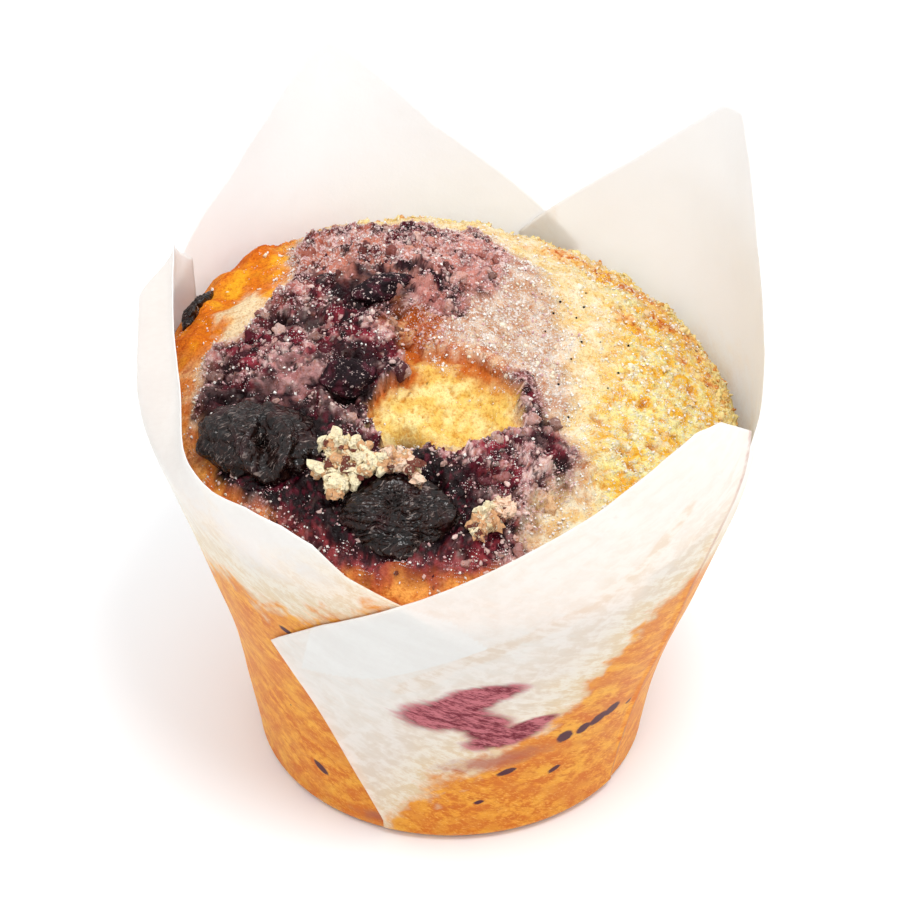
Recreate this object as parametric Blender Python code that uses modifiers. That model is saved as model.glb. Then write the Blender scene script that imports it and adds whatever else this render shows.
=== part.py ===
"""Berry muffin standing in a white paper tulip case.

The case is one sheet pressed round a cup. Its four corners stand up as petals, and the paper
between them is folded flat against the wall, so each petal's panel overlaps the next one.
The muffin fills the case and domes out of it, with shrivelled berries and crumbs set in its top.

The origin is the middle of the case's flat bottom, +Z is up, and -Y is the front, where the
outermost petal faces. All lengths below are millimetres; MM turns them into Blender's metres.
Directions are degrees about +Z, measured from +X towards +Y.
"""
import math

import bmesh
import bpy
from mathutils import Vector, noise

MM = 0.001

# The case: radius of its wall's mid surface at each height, and its paper.
WALL_RADIUS = ((0.0, 25.3), (10.0, 27.0), (20.0, 29.2), (30.0, 32.4), (38.0, 34.8), (46.0, 37.2),
               (54.0, 39.0), (62.0, 40.0), (72.0, 40.8), (90.0, 42.2))
WALL_SWING = 0.9            # how far the wall swells out towards +X
SWING_RISE = (8.0, 30.0)    # heights over which that swelling comes
SWING_FADE = (56.0, 70.0)   # and goes
PAPER = 0.6                 # thickness of the greased, doubled paper
LAYER_STEP = 0.4            # an outer panel's mid surface stands this far outside an inner one's
BOTTOM_RADIUS = 24.3        # flat part of the bottom
CORNER_HEIGHT = 2.0         # where the rounded bottom corner meets the wall
CORNER_STEPS = 3
CUP_HEIGHT = 4.0            # the plain cup at the bottom, from which the panels rise
CUP_INSIDE = 0.45           # the cup's wall reaches this far inside the wall's mid surface
CUP_OUTSIDE = 0.55          # and this far outside it
CUP_STEPS = 40
PANEL_START = 2.5           # the panels' lower edge, inside the cup's wall
PANEL_ROWS = 10
PANEL_STEP_DEG = 9.0        # width of a panel's faces

# The panels. Each has its layer (0 inside, 1 outside), the directions of its two side folds at
# the bottom, the share of its height above which its top leans, its bellies as (direction,
# height, reach in degrees, reach in height, swelling), and its top edge as (direction, height,
# radial lean outwards of the wall).
PANELS = {
    "front_left": (0, (160.0, 264.0), 0.86, ((191.0, 57.0, 21.0, 11.0, 1.1),), (
        (149.0, 60.0, 0.0), (160.0, 66.5, -2.9), (172.0, 72.5, -6.0), (184.0, 66.5, -6.3),
        (198.0, 61.2, -5.3), (213.0, 58.0, -1.0), (222.0, 57.3, 0.0), (231.0, 58.4, 0.0),
        (239.0, 58.0, 0.0), (245.0, 56.4, 0.0), (251.0, 52.2, 0.0), (262.0, 48.2, 0.0),
        (276.6, 40.5, 0.0))),
    "back_left": (1, (60.0, 172.0), 0.62, (), (
        (64.0, 52.0, 0.0), (71.4, 55.8, 0.0), (93.0, 67.4, 0.6), (108.5, 79.0, 1.9),
        (112.5, 81.0, 2.2), (117.0, 78.0, 1.9), (125.0, 72.6, 1.0), (135.0, 67.1, 0.2),
        (147.4, 62.4, 0.0), (156.0, 59.8, -0.2), (166.0, 55.5, -0.2))),
    "back_right": (0, (-50.0, 70.0), 0.62, ((0.0, 44.0, 24.0, 9.0, 0.8),), (
        (-52.0, 48.0, 0.0), (-22.0, 55.0, -0.4), (0.0, 62.5, -1.2), (14.0, 70.0, -0.9),
        (23.0, 78.2, -0.4), (29.5, 82.0, 0.8), (35.0, 80.8, 1.4), (53.0, 67.6, 0.6),
        (71.4, 55.8, 0.0), (76.4, 52.4, 0.0))),
    "front": (1, (250.4, 323.8), 0.62, (), (
        (228.0, 33.1, 0.0), (244.0, 41.6, 0.0), (260.7, 48.9, 0.0), (275.0, 54.9, 0.0),
        (296.0, 63.6, 0.4), (306.0, 68.4, 1.4), (312.0, 70.6, 2.0), (317.5, 70.0, 2.0),
        (328.0, 63.8, 1.2))),
}

# The muffin: the plane of its rim, its dome and the relief of its top.
GAP = 0.3                   # clearance between touching solids
CAKE_BOTTOM = PAPER + GAP
RIM_HEIGHT = 48.7
RIM_FALL_X = -0.115         # the rim falls towards +X
RIM_RISE_Y = 0.075          # and rises towards the back
DOME_HEIGHT = 13.0
DOME_POWER = 0.62
RIM_REACH = 37.0            # radius at which the rim's height is taken
CALM_RIM = (0.8, 1.0)       # share of the radius over which the relief fades
LUMP_SIZE = 7.0
LUMP_HEIGHT = 1.1
RELIEF_SPREAD = 1.6
TOP_SHARE = 0.56            # shares of the muffin's outline, from the top's middle: its top,
SIDE_SHARE = 0.84           # its side, and its bottom
BEND_SHARE = 0.3            # share of the bottom that is its rounded corner
LEVEL_CUP = (4.0, 9.0)      # heights over which the case's wall thins to the panels
CAKE_SEGMENTS = 40
CAKE_RINGS = 24

# Swellings and hollows of the top: (x, y, reach along x, reach along y, height).
TOP_RELIEF = (
    (-9.0, 9.0, 17.0, 9.0, 2.2),        # ridge of berry streusel across the back
    (2.0, 17.0, 14.0, 8.0, 1.4),
    (-28.0, 15.0, 9.0, 8.0, -1.6),      # lower golden shoulder at the back left
    (-20.0, -4.0, 9.0, 9.0, 1.2),
    (1.0, -12.5, 8.5, 5.5, -2.2),       # sunken patch of bare cake
    (6.0, -4.5, 8.0, 2.4, 1.3),         # lip above that patch
    (8.0, -17.5, 10.0, 4.0, 1.0),       # ridge below it
    (19.0, -4.0, 12.0, 14.0, -0.6),
    (-24.0, -17.0, 9.0, 8.0, -1.2),     # beds of the two large berries
    (-7.0, -28.5, 9.0, 6.0, -0.8),
)

# Berries: centre, half sizes, turn about Z, tilt about X, wrinkle depth.
BERRIES = {
    "berry_left": ((-23.4, -15.8, 56.9), (8.3, 6.4, 4.6), 150.0, 12.0, 0.9),
    "berry_front": ((-6.6, -27.2, 53.9), (7.8, 5.4, 4.4), 4.0, 24.0, 1.0),
    "berry_middle": ((-12.6, -8.6, 61.6), (4.0, 3.2, 2.6), 25.0, 10.0, 0.5),
    "berry_top": ((-8.8, 7.2, 64.2), (4.9, 2.3, 2.0), 32.0, -6.0, 0.4),
    "berry_side": ((-32.6, 12.0, 57.0), (3.9, 1.9, 2.4), 65.0, 0.0, 0.3),
}
# Crumbs of baked topping: centre, half sizes, turn about Z, tilt about X, roughness.
CRUMBS = {
    "crumb_large": ((-10.2, -23.8, 58.7), (6.4, 4.2, 1.7), -14.0, 30.0, 0.8),
    "crumb_small": ((4.9, -27.9, 54.6), (3.4, 2.2, 1.4), 28.0, 26.0, 0.5),
}
LARGE_TOPPINGS = ("berry_left", "berry_front")
LARGE_MESH = (22, 13)          # segments and rings
SMALL_MESH = (16, 10)


def smooth(low, high, value):
    t = min(max((value - low) / (high - low), 0.0), 1.0)
    return t * t * (3.0 - 2.0 * t)


def table(points, value):
    """Smooth curve through (position, value) pairs, flat beyond its ends."""
    if value <= points[0][0]:
        return points[0][1]
    for i in range(len(points) - 1):
        x0, y0 = points[i]
        x1, y1 = points[i + 1]
        if value <= x1:
            before = points[max(i - 1, 0)]
            after = points[min(i + 2, len(points) - 1)]
            slope0 = (y1 - before[1]) / (x1 - before[0])
            slope1 = (after[1] - y0) / (after[0] - x0)
            t = (value - x0) / (x1 - x0)
            step = x1 - x0
            return ((2 * t**3 - 3 * t**2 + 1) * y0 + (t**3 - 2 * t**2 + t) * step * slope0
                    + (3 * t**2 - 2 * t**3) * y1 + (t**3 - t**2) * step * slope1)
    return points[-1][1]


def wall_radius(direction, height):
    swing = smooth(*SWING_RISE, height) * (1.0 - smooth(*SWING_FADE, height))
    return table(WALL_RADIUS, height) + WALL_SWING * swing * math.cos(math.radians(direction))


def polar(radius, direction, height):
    turn = math.radians(direction)
    return Vector((radius * math.cos(turn), radius * math.sin(turn), height)) * MM


def rim_height(x, y):
    return RIM_HEIGHT + RIM_FALL_X * x + RIM_RISE_Y * y


def rim_radius(direction):
    """Radius of the muffin's rim, where it fills the case."""
    turn = math.radians(direction)
    height = rim_height(RIM_REACH * math.cos(turn), RIM_REACH * math.sin(turn))
    return wall_radius(direction, height) - PAPER / 2 - GAP


def top_height(x, y):
    """Height of the muffin's top above the case's bottom."""
    fraction = min(math.hypot(x, y) / rim_radius(math.degrees(math.atan2(y, x))), 1.0)
    height = rim_height(x, y) + DOME_HEIGHT * (1.0 - fraction * fraction) ** DOME_POWER
    fade = 1.0 - smooth(*CALM_RIM, fraction)
    for cx, cy, reach_x, reach_y, amount in TOP_RELIEF:
        distance = ((x - cx) / reach_x) ** 2 + ((y - cy) / reach_y) ** 2
        height += fade * amount * math.exp(-RELIEF_SPREAD * distance)
    lump = noise.noise(Vector((x, y, 0.0)) / LUMP_SIZE)
    return height + fade * LUMP_HEIGHT * lump


def new_object(name, mesh, collection):
    item = bpy.data.objects.new(name, mesh)
    collection.objects.link(item)
    return item


def material(name, colour, roughness):
    made = bpy.data.materials.new(name)
    made.use_nodes = True
    shader = made.node_tree.nodes["Principled BSDF"]
    shader.inputs["Base Color"].default_value = (*colour, 1.0)
    shader.inputs["Roughness"].default_value = roughness
    shader.inputs["Metallic"].default_value = 0.0
    return made


def cup(collection):
    """The plain cup at the bottom of the case: disc, rounded corner and a short wall."""
    def wall_side(offset, inner_floor):
        points = []
        for i in range(CORNER_STEPS + 1):
            turn = math.pi / 2 * i / CORNER_STEPS
            corner = CORNER_HEIGHT - inner_floor
            foot = wall_radius(0.0, CORNER_HEIGHT) + offset
            flat = BOTTOM_RADIUS + min(offset, 0.0)
            points.append((flat + (foot - flat) * math.sin(turn),
                           inner_floor + corner * (1.0 - math.cos(turn))))
        points.append((wall_radius(0.0, CUP_HEIGHT) + offset, CUP_HEIGHT))
        return points

    inside = [(0.0, PAPER)] + wall_side(-CUP_INSIDE, PAPER)
    outside = wall_side(CUP_OUTSIDE, 0.0)[::-1] + [(0.0, 0.0)]
    mesh = bpy.data.meshes.new("cup")
    sheet = bmesh.new()
    corners = [sheet.verts.new((r * MM, 0.0, z * MM)) for r, z in inside + outside]
    for first, second in zip(corners, corners[1:]):
        sheet.edges.new((first, second))
    sheet.to_mesh(mesh)
    sheet.free()
    item = new_object("cup", mesh, collection)
    turned = item.modifiers.new("turn", "SCREW")
    turned.steps = turned.render_steps = CUP_STEPS
    turned.use_merge_vertices = True
    turned.merge_threshold = 0.00001
    return item


def panel(name, collection):
    """One petal with its side folds: a ruled patch on the wall, thickened to paper."""
    layer, (start_left, start_right), lean_from, bellies, edge = PANELS[name]
    columns = []
    for (d0, h0, lean0), (d1, h1, lean1) in zip(edge, edge[1:]):
        pieces = max(1, round((d1 - d0) / PANEL_STEP_DEG))
        for i in range(pieces):
            t = i / pieces
            columns.append((d0 + (d1 - d0) * t, h0 + (h1 - h0) * t, lean0 + (lean1 - lean0) * t))
    columns.append(edge[-1])
    span = edge[-1][0] - edge[0][0]

    mesh = bpy.data.meshes.new(name)
    sheet = bmesh.new()
    bmesh.ops.create_grid(sheet, x_segments=len(columns) - 1, y_segments=PANEL_ROWS, size=1.0)
    for corner in sheet.verts:
        column = round((corner.co.x + 1.0) / 2.0 * (len(columns) - 1))
        up = (corner.co.y + 1.0) / 2.0
        top_direction, top_z, lean = columns[column]
        share = (top_direction - edge[0][0]) / span
        bottom_direction = start_left + (start_right - start_left) * share
        height = PANEL_START + (top_z - PANEL_START) * up
        direction = bottom_direction + (top_direction - bottom_direction) * up
        radius = wall_radius(direction, height) + layer * LAYER_STEP
        radius += lean * smooth(lean_from, 1.0, up)
        for middle, level, reach, reach_up, swell in bellies:
            distance = ((direction - middle) / reach) ** 2 + ((height - level) / reach_up) ** 2
            radius += swell * math.exp(-distance)
        corner.co = polar(radius, direction, height)
    sheet.normal_update()
    sheet.to_mesh(mesh)
    sheet.free()
    item = new_object(name, mesh, collection)
    thick = item.modifiers.new("paper", "SOLIDIFY")
    thick.thickness = PAPER * MM
    thick.offset = 0.0
    return item


def paper_case(collection, cutters):
    """The whole case as one solid: the cup and its four panels."""
    case = cup(collection)
    case.name = "paper_case"
    case.data.name = "paper_case"
    for name in PANELS:
        petal = panel(name, cutters)
        join = case.modifiers.new(name, "BOOLEAN")
        join.operation = "UNION"
        join.object = petal
    return case


def cake_point(direction, share):
    """A point of the muffin's skin: share runs from 0 at the top's middle to 1 at the bottom's."""
    turn = math.radians(direction)
    rim = rim_radius(direction)
    if share <= TOP_SHARE:
        radius = rim * math.sin(math.pi / 2 * share / TOP_SHARE)
        x, y = radius * math.cos(turn), radius * math.sin(turn)
        return polar(radius, direction, top_height(x, y))
    high = rim_height(rim * math.cos(turn), rim * math.sin(turn))
    if share <= SIDE_SHARE:
        down = (share - TOP_SHARE) / (SIDE_SHARE - TOP_SHARE)
        height = high + (CAKE_BOTTOM + CORNER_HEIGHT - high) * down
        cup_share = 1.0 - smooth(*LEVEL_CUP, height)
        clearance = GAP + PAPER / 2 + (CUP_INSIDE - PAPER / 2) * cup_share
        return polar(wall_radius(direction, height) - clearance, direction, height)
    inward = (share - SIDE_SHARE) / (1.0 - SIDE_SHARE)
    foot = wall_radius(direction, CAKE_BOTTOM + CORNER_HEIGHT) - CUP_INSIDE - GAP
    flat = BOTTOM_RADIUS - CUP_INSIDE - GAP
    if inward <= BEND_SHARE:
        bend = math.pi / 2 * (1.0 - inward / BEND_SHARE)
        radius = flat + (foot - flat) * math.sin(bend)
        return polar(radius, direction, CAKE_BOTTOM + CORNER_HEIGHT * (1.0 - math.cos(bend)))
    return polar(flat * (1.0 - inward) / (1.0 - BEND_SHARE), direction, CAKE_BOTTOM)


def deformed_sphere(name, segments, rings, place):
    """A UV sphere whose points place(direction, share, unit) moves onto a closed skin."""
    mesh = bpy.data.meshes.new(name)
    ball = bmesh.new()
    bmesh.ops.create_uvsphere(ball, u_segments=segments, v_segments=rings, radius=1.0)
    for corner in ball.verts:
        unit = corner.co.normalized()
        share = math.acos(min(max(unit.z, -1.0), 1.0)) / math.pi
        corner.co = place(math.degrees(math.atan2(unit.y, unit.x)), share, unit)
    ball.normal_update()
    ball.to_mesh(mesh)
    ball.free()
    mesh.shade_smooth()
    return mesh


def cake(collection):
    mesh = deformed_sphere("cake", CAKE_SEGMENTS, CAKE_RINGS,
                           lambda direction, share, unit: cake_point(direction, share))
    return new_object("cake", mesh, collection)


def place_topping(item, centre, turn, tilt):
    item.location = Vector(centre) * MM
    item.rotation_euler = (math.radians(tilt), 0.0, math.radians(turn))


def berry(name, collection, margin=0.0):
    """A shrivelled berry: an egg shape with lengthways folds and dents."""
    centre, (half_x, half_y, half_z), turn, tilt, wrinkle = BERRIES[name]

    def place(direction, share, unit):
        around = math.atan2(unit.z, unit.y)
        fold = math.sin(around * 4.0 + 2.8 * unit.x + centre[0])
        dent = noise.noise(unit * 1.5 + Vector((centre[0], 0.0, 0.0)))
        swell = 1.0 - 0.14 * unit.x + (0.4 * fold + 1.3 * dent) * wrinkle / half_z
        return Vector((unit.x * (half_x + margin), unit.y * (half_y * swell + margin),
                       unit.z * (half_z * swell + margin))) * MM

    segments, rings = LARGE_MESH if name in LARGE_TOPPINGS else SMALL_MESH
    mesh = deformed_sphere(name, segments, rings, place)
    item = new_object(name, mesh, collection)
    place_topping(item, centre, turn, tilt)
    return item


def crumb(name, collection, margin=0.0):
    """A flat, jagged crumb of streusel."""
    centre, (half_x, half_y, half_z), turn, tilt, rough = CRUMBS[name]

    def place(direction, share, unit):
        rim = Vector((unit.x, unit.y, 0.0)).normalized()
        edge = 1.0 + 0.45 * noise.noise(rim * 1.7 + Vector(centre))
        bump = noise.noise(unit * 2.3 + Vector(centre)) * rough
        flat = math.copysign(abs(unit.z) ** 0.6, unit.z)
        return Vector((unit.x * (half_x * edge + margin), unit.y * (half_y * edge + margin),
                       flat * (half_z + margin) + bump)) * MM

    mesh = deformed_sphere(name, *SMALL_MESH, place)
    item = new_object(name, mesh, collection)
    place_topping(item, centre, turn, tilt)
    return item


def hollow(target, cutter):
    """Cuts a bed for another solid into the target, with the gap round it."""
    cutter.name = "bed_" + cutter.name.split(".")[0]
    cut = target.modifiers.new(cutter.name, "BOOLEAN")
    cut.operation = "DIFFERENCE"
    cut.object = cutter


def main():
    for item in list(bpy.data.objects):
        bpy.data.objects.remove(item)
    parts = bpy.data.collections.new("berry_muffin")
    cutters = bpy.data.collections.new("cutters")
    bpy.context.scene.collection.children.link(parts)
    bpy.context.scene.collection.children.link(cutters)

    case = paper_case(parts, cutters)
    case.data.materials.append(material("parchment", (0.90, 0.86, 0.82), 0.75))
    body = cake(parts)
    body.data.materials.append(material("golden_cake", (0.80, 0.52, 0.20), 0.80))
    for name in BERRIES:
        fruit = berry(name, parts)
        fruit.data.materials.append(material(name + "_skin", (0.02, 0.015, 0.025), 0.35))
        hollow(body, berry(name, cutters, GAP))
    for name in CRUMBS:
        flake = crumb(name, parts)
        flake.data.materials.append(material(name + "_bake", (0.80, 0.66, 0.48), 0.90))
        hollow(body, crumb(name, cutters, GAP))
    hollow(parts.objects["berry_front"], crumb("crumb_large", cutters, GAP))
    for guide in cutters.objects:
        guide.hide_render = True
        guide.display_type = "WIRE"


main()
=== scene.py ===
import math

import bmesh
import bpy
import numpy as np
from mathutils import Matrix, Vector, noise


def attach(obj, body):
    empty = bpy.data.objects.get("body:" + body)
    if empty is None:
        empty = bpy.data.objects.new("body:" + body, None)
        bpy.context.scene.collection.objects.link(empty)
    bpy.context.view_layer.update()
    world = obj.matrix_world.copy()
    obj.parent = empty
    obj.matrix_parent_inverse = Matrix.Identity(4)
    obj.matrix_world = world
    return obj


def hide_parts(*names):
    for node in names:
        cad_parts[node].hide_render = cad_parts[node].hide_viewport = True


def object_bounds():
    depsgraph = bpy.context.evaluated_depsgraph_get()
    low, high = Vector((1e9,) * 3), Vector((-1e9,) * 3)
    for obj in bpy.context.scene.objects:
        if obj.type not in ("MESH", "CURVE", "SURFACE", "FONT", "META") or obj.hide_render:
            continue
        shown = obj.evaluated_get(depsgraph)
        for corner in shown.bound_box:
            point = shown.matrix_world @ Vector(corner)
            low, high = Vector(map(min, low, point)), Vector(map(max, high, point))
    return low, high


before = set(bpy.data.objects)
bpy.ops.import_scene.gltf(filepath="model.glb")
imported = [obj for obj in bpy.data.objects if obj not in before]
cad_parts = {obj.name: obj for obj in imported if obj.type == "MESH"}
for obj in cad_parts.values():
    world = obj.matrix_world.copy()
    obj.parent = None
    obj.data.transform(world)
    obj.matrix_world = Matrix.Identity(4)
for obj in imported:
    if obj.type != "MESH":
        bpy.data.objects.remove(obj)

MM = 0.001
CAD_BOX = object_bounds()
SEED = 20
EXPOSED = 0.83              # surface brightness that the studio's light shows as pure white

# ---------------------------------------------------------------- the CAD's shapes, repeated
WALL_RADIUS = ((0, 25.3), (10, 27), (20, 29.2), (30, 32.4), (38, 34.8), (46, 37.2), (54, 39), (62, 40),
               (72, 40.8), (90, 42.2))
WALL_SWING = 0.9
SWING_RISE = (8.0, 30.0)
SWING_FADE = (56.0, 70.0)
WALL_THICK = 0.6            # the CAD wall's thickness, in which the thin paper lies
GAP = 0.3
LAYER_STEP = 0.4
BOTTOM_RADIUS = 24.3
CORNER_HEIGHT = 2.0
CUP_INSIDE = 0.45
LEVEL_CUP = (4.0, 9.0)
CAKE_BOTTOM = WALL_THICK + GAP

# Panels: layer, directions of the side folds at the bottom, share of the height above which the
# top leans, bellies (direction, height, reach in degrees, reach in height, swelling), and the
# top edge (direction, height, radial lean).
PANELS = {
    "front_left": (0, (160, 264), 0.86, ((191, 57, 21, 11, 1.1),), (
        (149, 60, 0), (160, 66.5, -2.9), (172, 72.5, -6), (184, 66.5, -6.3), (198, 61.2, -5.3), (213, 58, -1),
        (222, 57.3, 0), (231, 58.4, 0), (239, 58, 0), (245, 56.4, 0), (251, 52.2, 0), (262, 48.2, 0),
        (276.6, 40.5, 0))),
    "back_left": (1, (60, 172), 0.62, (), (
        (64, 52, 0), (71.4, 55.8, 0), (93, 67.4, 0.6), (108.5, 79, 1.9), (112.5, 81, 2.2), (117, 78, 1.9),
        (125, 72.6, 1), (135, 67.1, 0.2), (147.4, 62.4, 0), (156, 59.8, -0.2), (166, 55.5, -0.2))),
    "back_right": (0, (-50, 70), 0.62, ((0, 44, 24, 9, 0.8),), (
        (-52, 48, 0), (-22, 55, -0.4), (0, 62.5, -1.2), (14, 70, -0.9), (23, 78.2, -0.4), (29.5, 82, 0.8),
        (35, 80.8, 1.4), (53, 67.6, 0.6), (71.4, 55.8, 0), (76.4, 52.4, 0))),
    "front": (1, (250.4, 323.8), 0.62, (), (
        (228, 33.1, 0), (244, 41.6, 0), (260.7, 48.9, 0), (275, 54.9, 0), (296, 63.6, 0.4), (306, 68.4, 1.4),
        (312, 70.6, 2), (317.5, 70, 2), (328, 63.8, 1.2))),
}

RIM_HEIGHT = 48.7
RIM_FALL_X = -0.115
RIM_RISE_Y = 0.075
DOME_HEIGHT = 13.0
DOME_POWER = 0.62
RIM_REACH = 37.0
CALM_RIM = (0.8, 1.0)
LUMP_SIZE = 7.0
LUMP_HEIGHT = 1.1
RELIEF_SPREAD = 1.6
TOP_RELIEF = ((-9, 9, 17, 9, 2.2), (2, 17, 14, 8, 1.4), (-28, 15, 9, 8, -1.6), (-20, -4, 9, 9, 1.2),
              (1, -12.5, 8.5, 5.5, -2.2), (6, -4.5, 8, 2.4, 1.3), (8, -17.5, 10, 4, 1),
              (19, -4, 12, 14, -0.6), (-24, -17, 9, 8, -1.2), (-7, -28.5, 9, 6, -0.8))
# Berries: centre, half sizes, turn about Z, tilt about X.
BERRIES = {
    "berry_left": ((-23.4, -15.8, 56.9), (8.3, 6.4, 4.6), 150, 12),
    "berry_front": ((-6.6, -27.2, 53.9), (7.8, 5.4, 4.4), 4, 24),
    "berry_middle": ((-12.6, -8.6, 61.6), (4, 3.2, 2.6), 25, 10),
    "berry_top": ((-8.8, 7.2, 64.2), (4.9, 2.3, 2), 32, -6),
    "berry_side": ((-32.6, 12, 57), (3.9, 1.9, 2.4), 65, 0),
}
# Flakes of streusel: centre, turn about Z, tilt about X.
CRUMBS = {
    "crumb_large": ((-10.2, -23.8, 58.7), -14, 30),
    "crumb_small": ((4.9, -27.9, 54.6), 28, 26),
}


# ---------------------------------------------------------------- small tools
def smooth(low, high, value):
    t = np.clip((value - low) / (high - low), 0.0, 1.0)
    return t * t * (3.0 - 2.0 * t)


def curve(knots, value):
    """Smooth curve through (position, value) pairs, flat beyond its ends."""
    xs, ys = np.array(knots, float).T
    x_ends, y_ends = np.pad(xs, 1, "edge"), np.pad(ys, 1, "edge")
    slopes = (y_ends[2:] - y_ends[:-2]) / (x_ends[2:] - x_ends[:-2])
    value = np.clip(value, xs[0], xs[-1])
    i = np.clip(np.searchsorted(xs, value, side="right") - 1, 0, len(xs) - 2)
    step = xs[i + 1] - xs[i]
    t = (value - xs[i]) / step
    return ((2 * t**3 - 3 * t**2 + 1) * ys[i] + (t**3 - 2 * t**2 + t) * step * slopes[i]
            + (3 * t**2 - 2 * t**3) * ys[i + 1] + (t**3 - t**2) * step * slopes[i + 1])


def linear(colour):
    """The surface colour that the bright studio shows as this sRGB colour from 0 to 255."""
    c = np.array(colour, float) / 255.0
    return EXPOSED * np.where(c <= 0.04045, c / 12.92, ((c + 0.055) / 1.055) ** 2.4)


def srgb(*colour):
    return tuple(float(c) for c in linear(colour))


def toward(under, over, share):
    return under + (over - under) * share


def mix(under, over, share):
    """One colour laid over another, each as a linear array or as one sRGB colour."""
    under, over = (linear(c) if isinstance(c, tuple) else c for c in (under, over))
    return toward(under, over, share[..., None])


def hashed(cell, salt):
    """A repeatable whole number for each cell of a lattice."""
    c = cell.astype(np.int64)
    h = (c[..., 0] * 73856093) ^ (c[..., 1] * 19349663) ^ (c[..., 2] * 83492791) ^ (salt * 2654435)
    h = (h ^ (h >> 13)) * 1274126177
    h = (h ^ (h >> 16)) * 668265263
    return (h ^ (h >> 15)) & 0x7FFFFFFF


def random_unit(cell, salt):
    return hashed(cell, salt) / 0x7FFFFFFF


def block(low, high):
    """Every whole-number cell of a cube from low to high."""
    line = range(low, high + 1)
    return [np.array((i, j, k)) for i in line for j in line for k in line]


SLOPES = np.array(((1, 1, 0), (-1, 1, 0), (1, -1, 0), (-1, -1, 0), (1, 0, 1), (-1, 0, 1),
                   (1, 0, -1), (-1, 0, -1), (0, 1, 1), (0, -1, 1), (0, 1, -1), (0, -1, -1)), float)
CORNERS = block(0, 1)
NEIGHBOURS = block(-1, 1)
JITTER = 0.9                # how far scattered centres stray in their cells


def grain(points, size, salt):
    """Gradient noise from about -1 to 1 with features of a given size in mm."""
    p = points / size
    cell = np.floor(p)
    f = p - cell
    w = f * f * f * (f * (f * 6.0 - 15.0) + 10.0)
    total = np.zeros(p.shape[:-1])
    for corner in CORNERS:
        slope = SLOPES[hashed(cell + corner, salt) % len(SLOPES)]
        share = np.prod(np.where(corner == 1, w, 1.0 - w), axis=-1)
        total += share * np.sum(slope * (f - corner), axis=-1)
    return total


def rough(points, size, layers, salt):
    """Several layers of grain, each half as large and half as strong."""
    return sum(grain(points, size / 2**i, salt + i) / 2**i for i in range(layers))


def sway(points, size, layers, salt, step=3, count=3):
    """Roughness that differs along each of several axes."""
    return np.stack([rough(points, size, layers, salt + step * k) for k in range(count)], axis=-1)


def pebbles(points, size, salt):
    """Distances in cells to the closest and next of many scattered centres, with the closest
    one's own random value and the lean of a plane through it."""
    p = points / size
    cell = np.floor(p)
    first, second = np.full((2, *p.shape[:-1]), 9.0)
    value, lean = np.zeros((2, *p.shape[:-1]))
    for step in NEIGHBOURS:
        there = cell + step
        place = np.stack([random_unit(there, salt + k) for k in range(3)], axis=-1)
        offset = p - (there + 0.5 + JITTER * (place - 0.5))
        away = np.linalg.norm(offset, axis=-1)
        nearer = away < first
        second = np.where(nearer, first, np.minimum(second, away))
        value = np.where(nearer, random_unit(there, salt + 3), value)
        lean = np.where(nearer, np.sum(offset * (place[..., ::-1] - 0.5), axis=-1), lean)
        first = np.where(nearer, away, first)
    return first, second, value, lean


def stones(points, size, salt, level, by_tone, by_lean, highest):
    """Heights of rounded, tilted stones with gaps between them, and their own random values."""
    first, second, tone, lean = pebbles(points, size, salt)
    height = np.clip(level + by_tone * tone + by_lean * lean, 0.0, highest)
    return smooth(0.0, 0.22, second - first) * height, tone


def depth_inside(x, y, outline):
    """How far a point lies inside a closed outline; negative outside."""
    corners = np.array(outline, float)
    nearest = np.full(x.shape, 1e9)
    inside = np.zeros(x.shape, bool)
    for (ax, ay), (bx, by) in zip(corners, np.roll(corners, -1, axis=0)):
        ex, ey = bx - ax, by - ay
        t = np.clip(((x - ax) * ex + (y - ay) * ey) / (ex * ex + ey * ey), 0.0, 1.0)
        nearest = np.minimum(nearest, np.hypot(x - ax - t * ex, y - ay - t * ey))
        crosses = (ay > y) != (by > y)
        with np.errstate(divide="ignore", invalid="ignore"):
            inside ^= crosses & (x < (bx - ax) * (y - ay) / (by - ay) + ax)
    return np.where(inside, nearest, -nearest)


def spot(x, y, cx, cy, rx, ry, turn):
    """1 in the middle of an ellipse, 0 on its edge, negative outside."""
    c, s = math.cos(math.radians(turn)), math.sin(math.radians(turn))
    along = (x - cx) * c + (y - cy) * s
    across = (y - cy) * c - (x - cx) * s
    return 1.0 - np.hypot(along / rx, across / ry)


def polar(radius, direction, height):
    turn = np.radians(direction)
    return np.stack(np.broadcast_arrays(radius * np.cos(turn), radius * np.sin(turn), height), axis=-1)


def grid_faces(rows, columns):
    """Quads of a grid of points, rows by columns."""
    i, j = np.meshgrid(np.arange(rows - 1), np.arange(columns - 1), indexing="ij")
    a = (i * columns + j).ravel()
    return np.stack((a, a + 1, a + columns + 1, a + columns), axis=-1)


def grid_border(rows, columns):
    """The points round the border of a grid, in order."""
    return np.concatenate((np.arange(columns), np.arange(1, rows) * columns + columns - 1,
                           (rows - 1) * columns + np.arange(columns - 2, -1, -1),
                           np.arange(rows - 2, 0, -1) * columns))


def grid_cross(points):
    """Each grid point's normal, as long as the area of the cell round it."""
    return np.cross(np.gradient(points, axis=1), np.gradient(points, axis=0))


def unit(vectors):
    return vectors / np.maximum(np.linalg.norm(vectors, axis=-1, keepdims=True), 1e-9)


def new_piece(name, points, faces, material, flat=False):
    """A mesh object from points in mm, riding on the muffin's one body."""
    mesh = bpy.data.meshes.new(name)
    mesh.from_pydata((points.reshape(-1, 3) * MM).tolist(), [], faces)
    if not flat:
        mesh.shade_smooth()
    mesh.materials.append(material)
    piece = bpy.data.objects.new(name, mesh)
    bpy.context.scene.collection.objects.link(piece)
    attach(piece, "root")
    return piece


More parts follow.
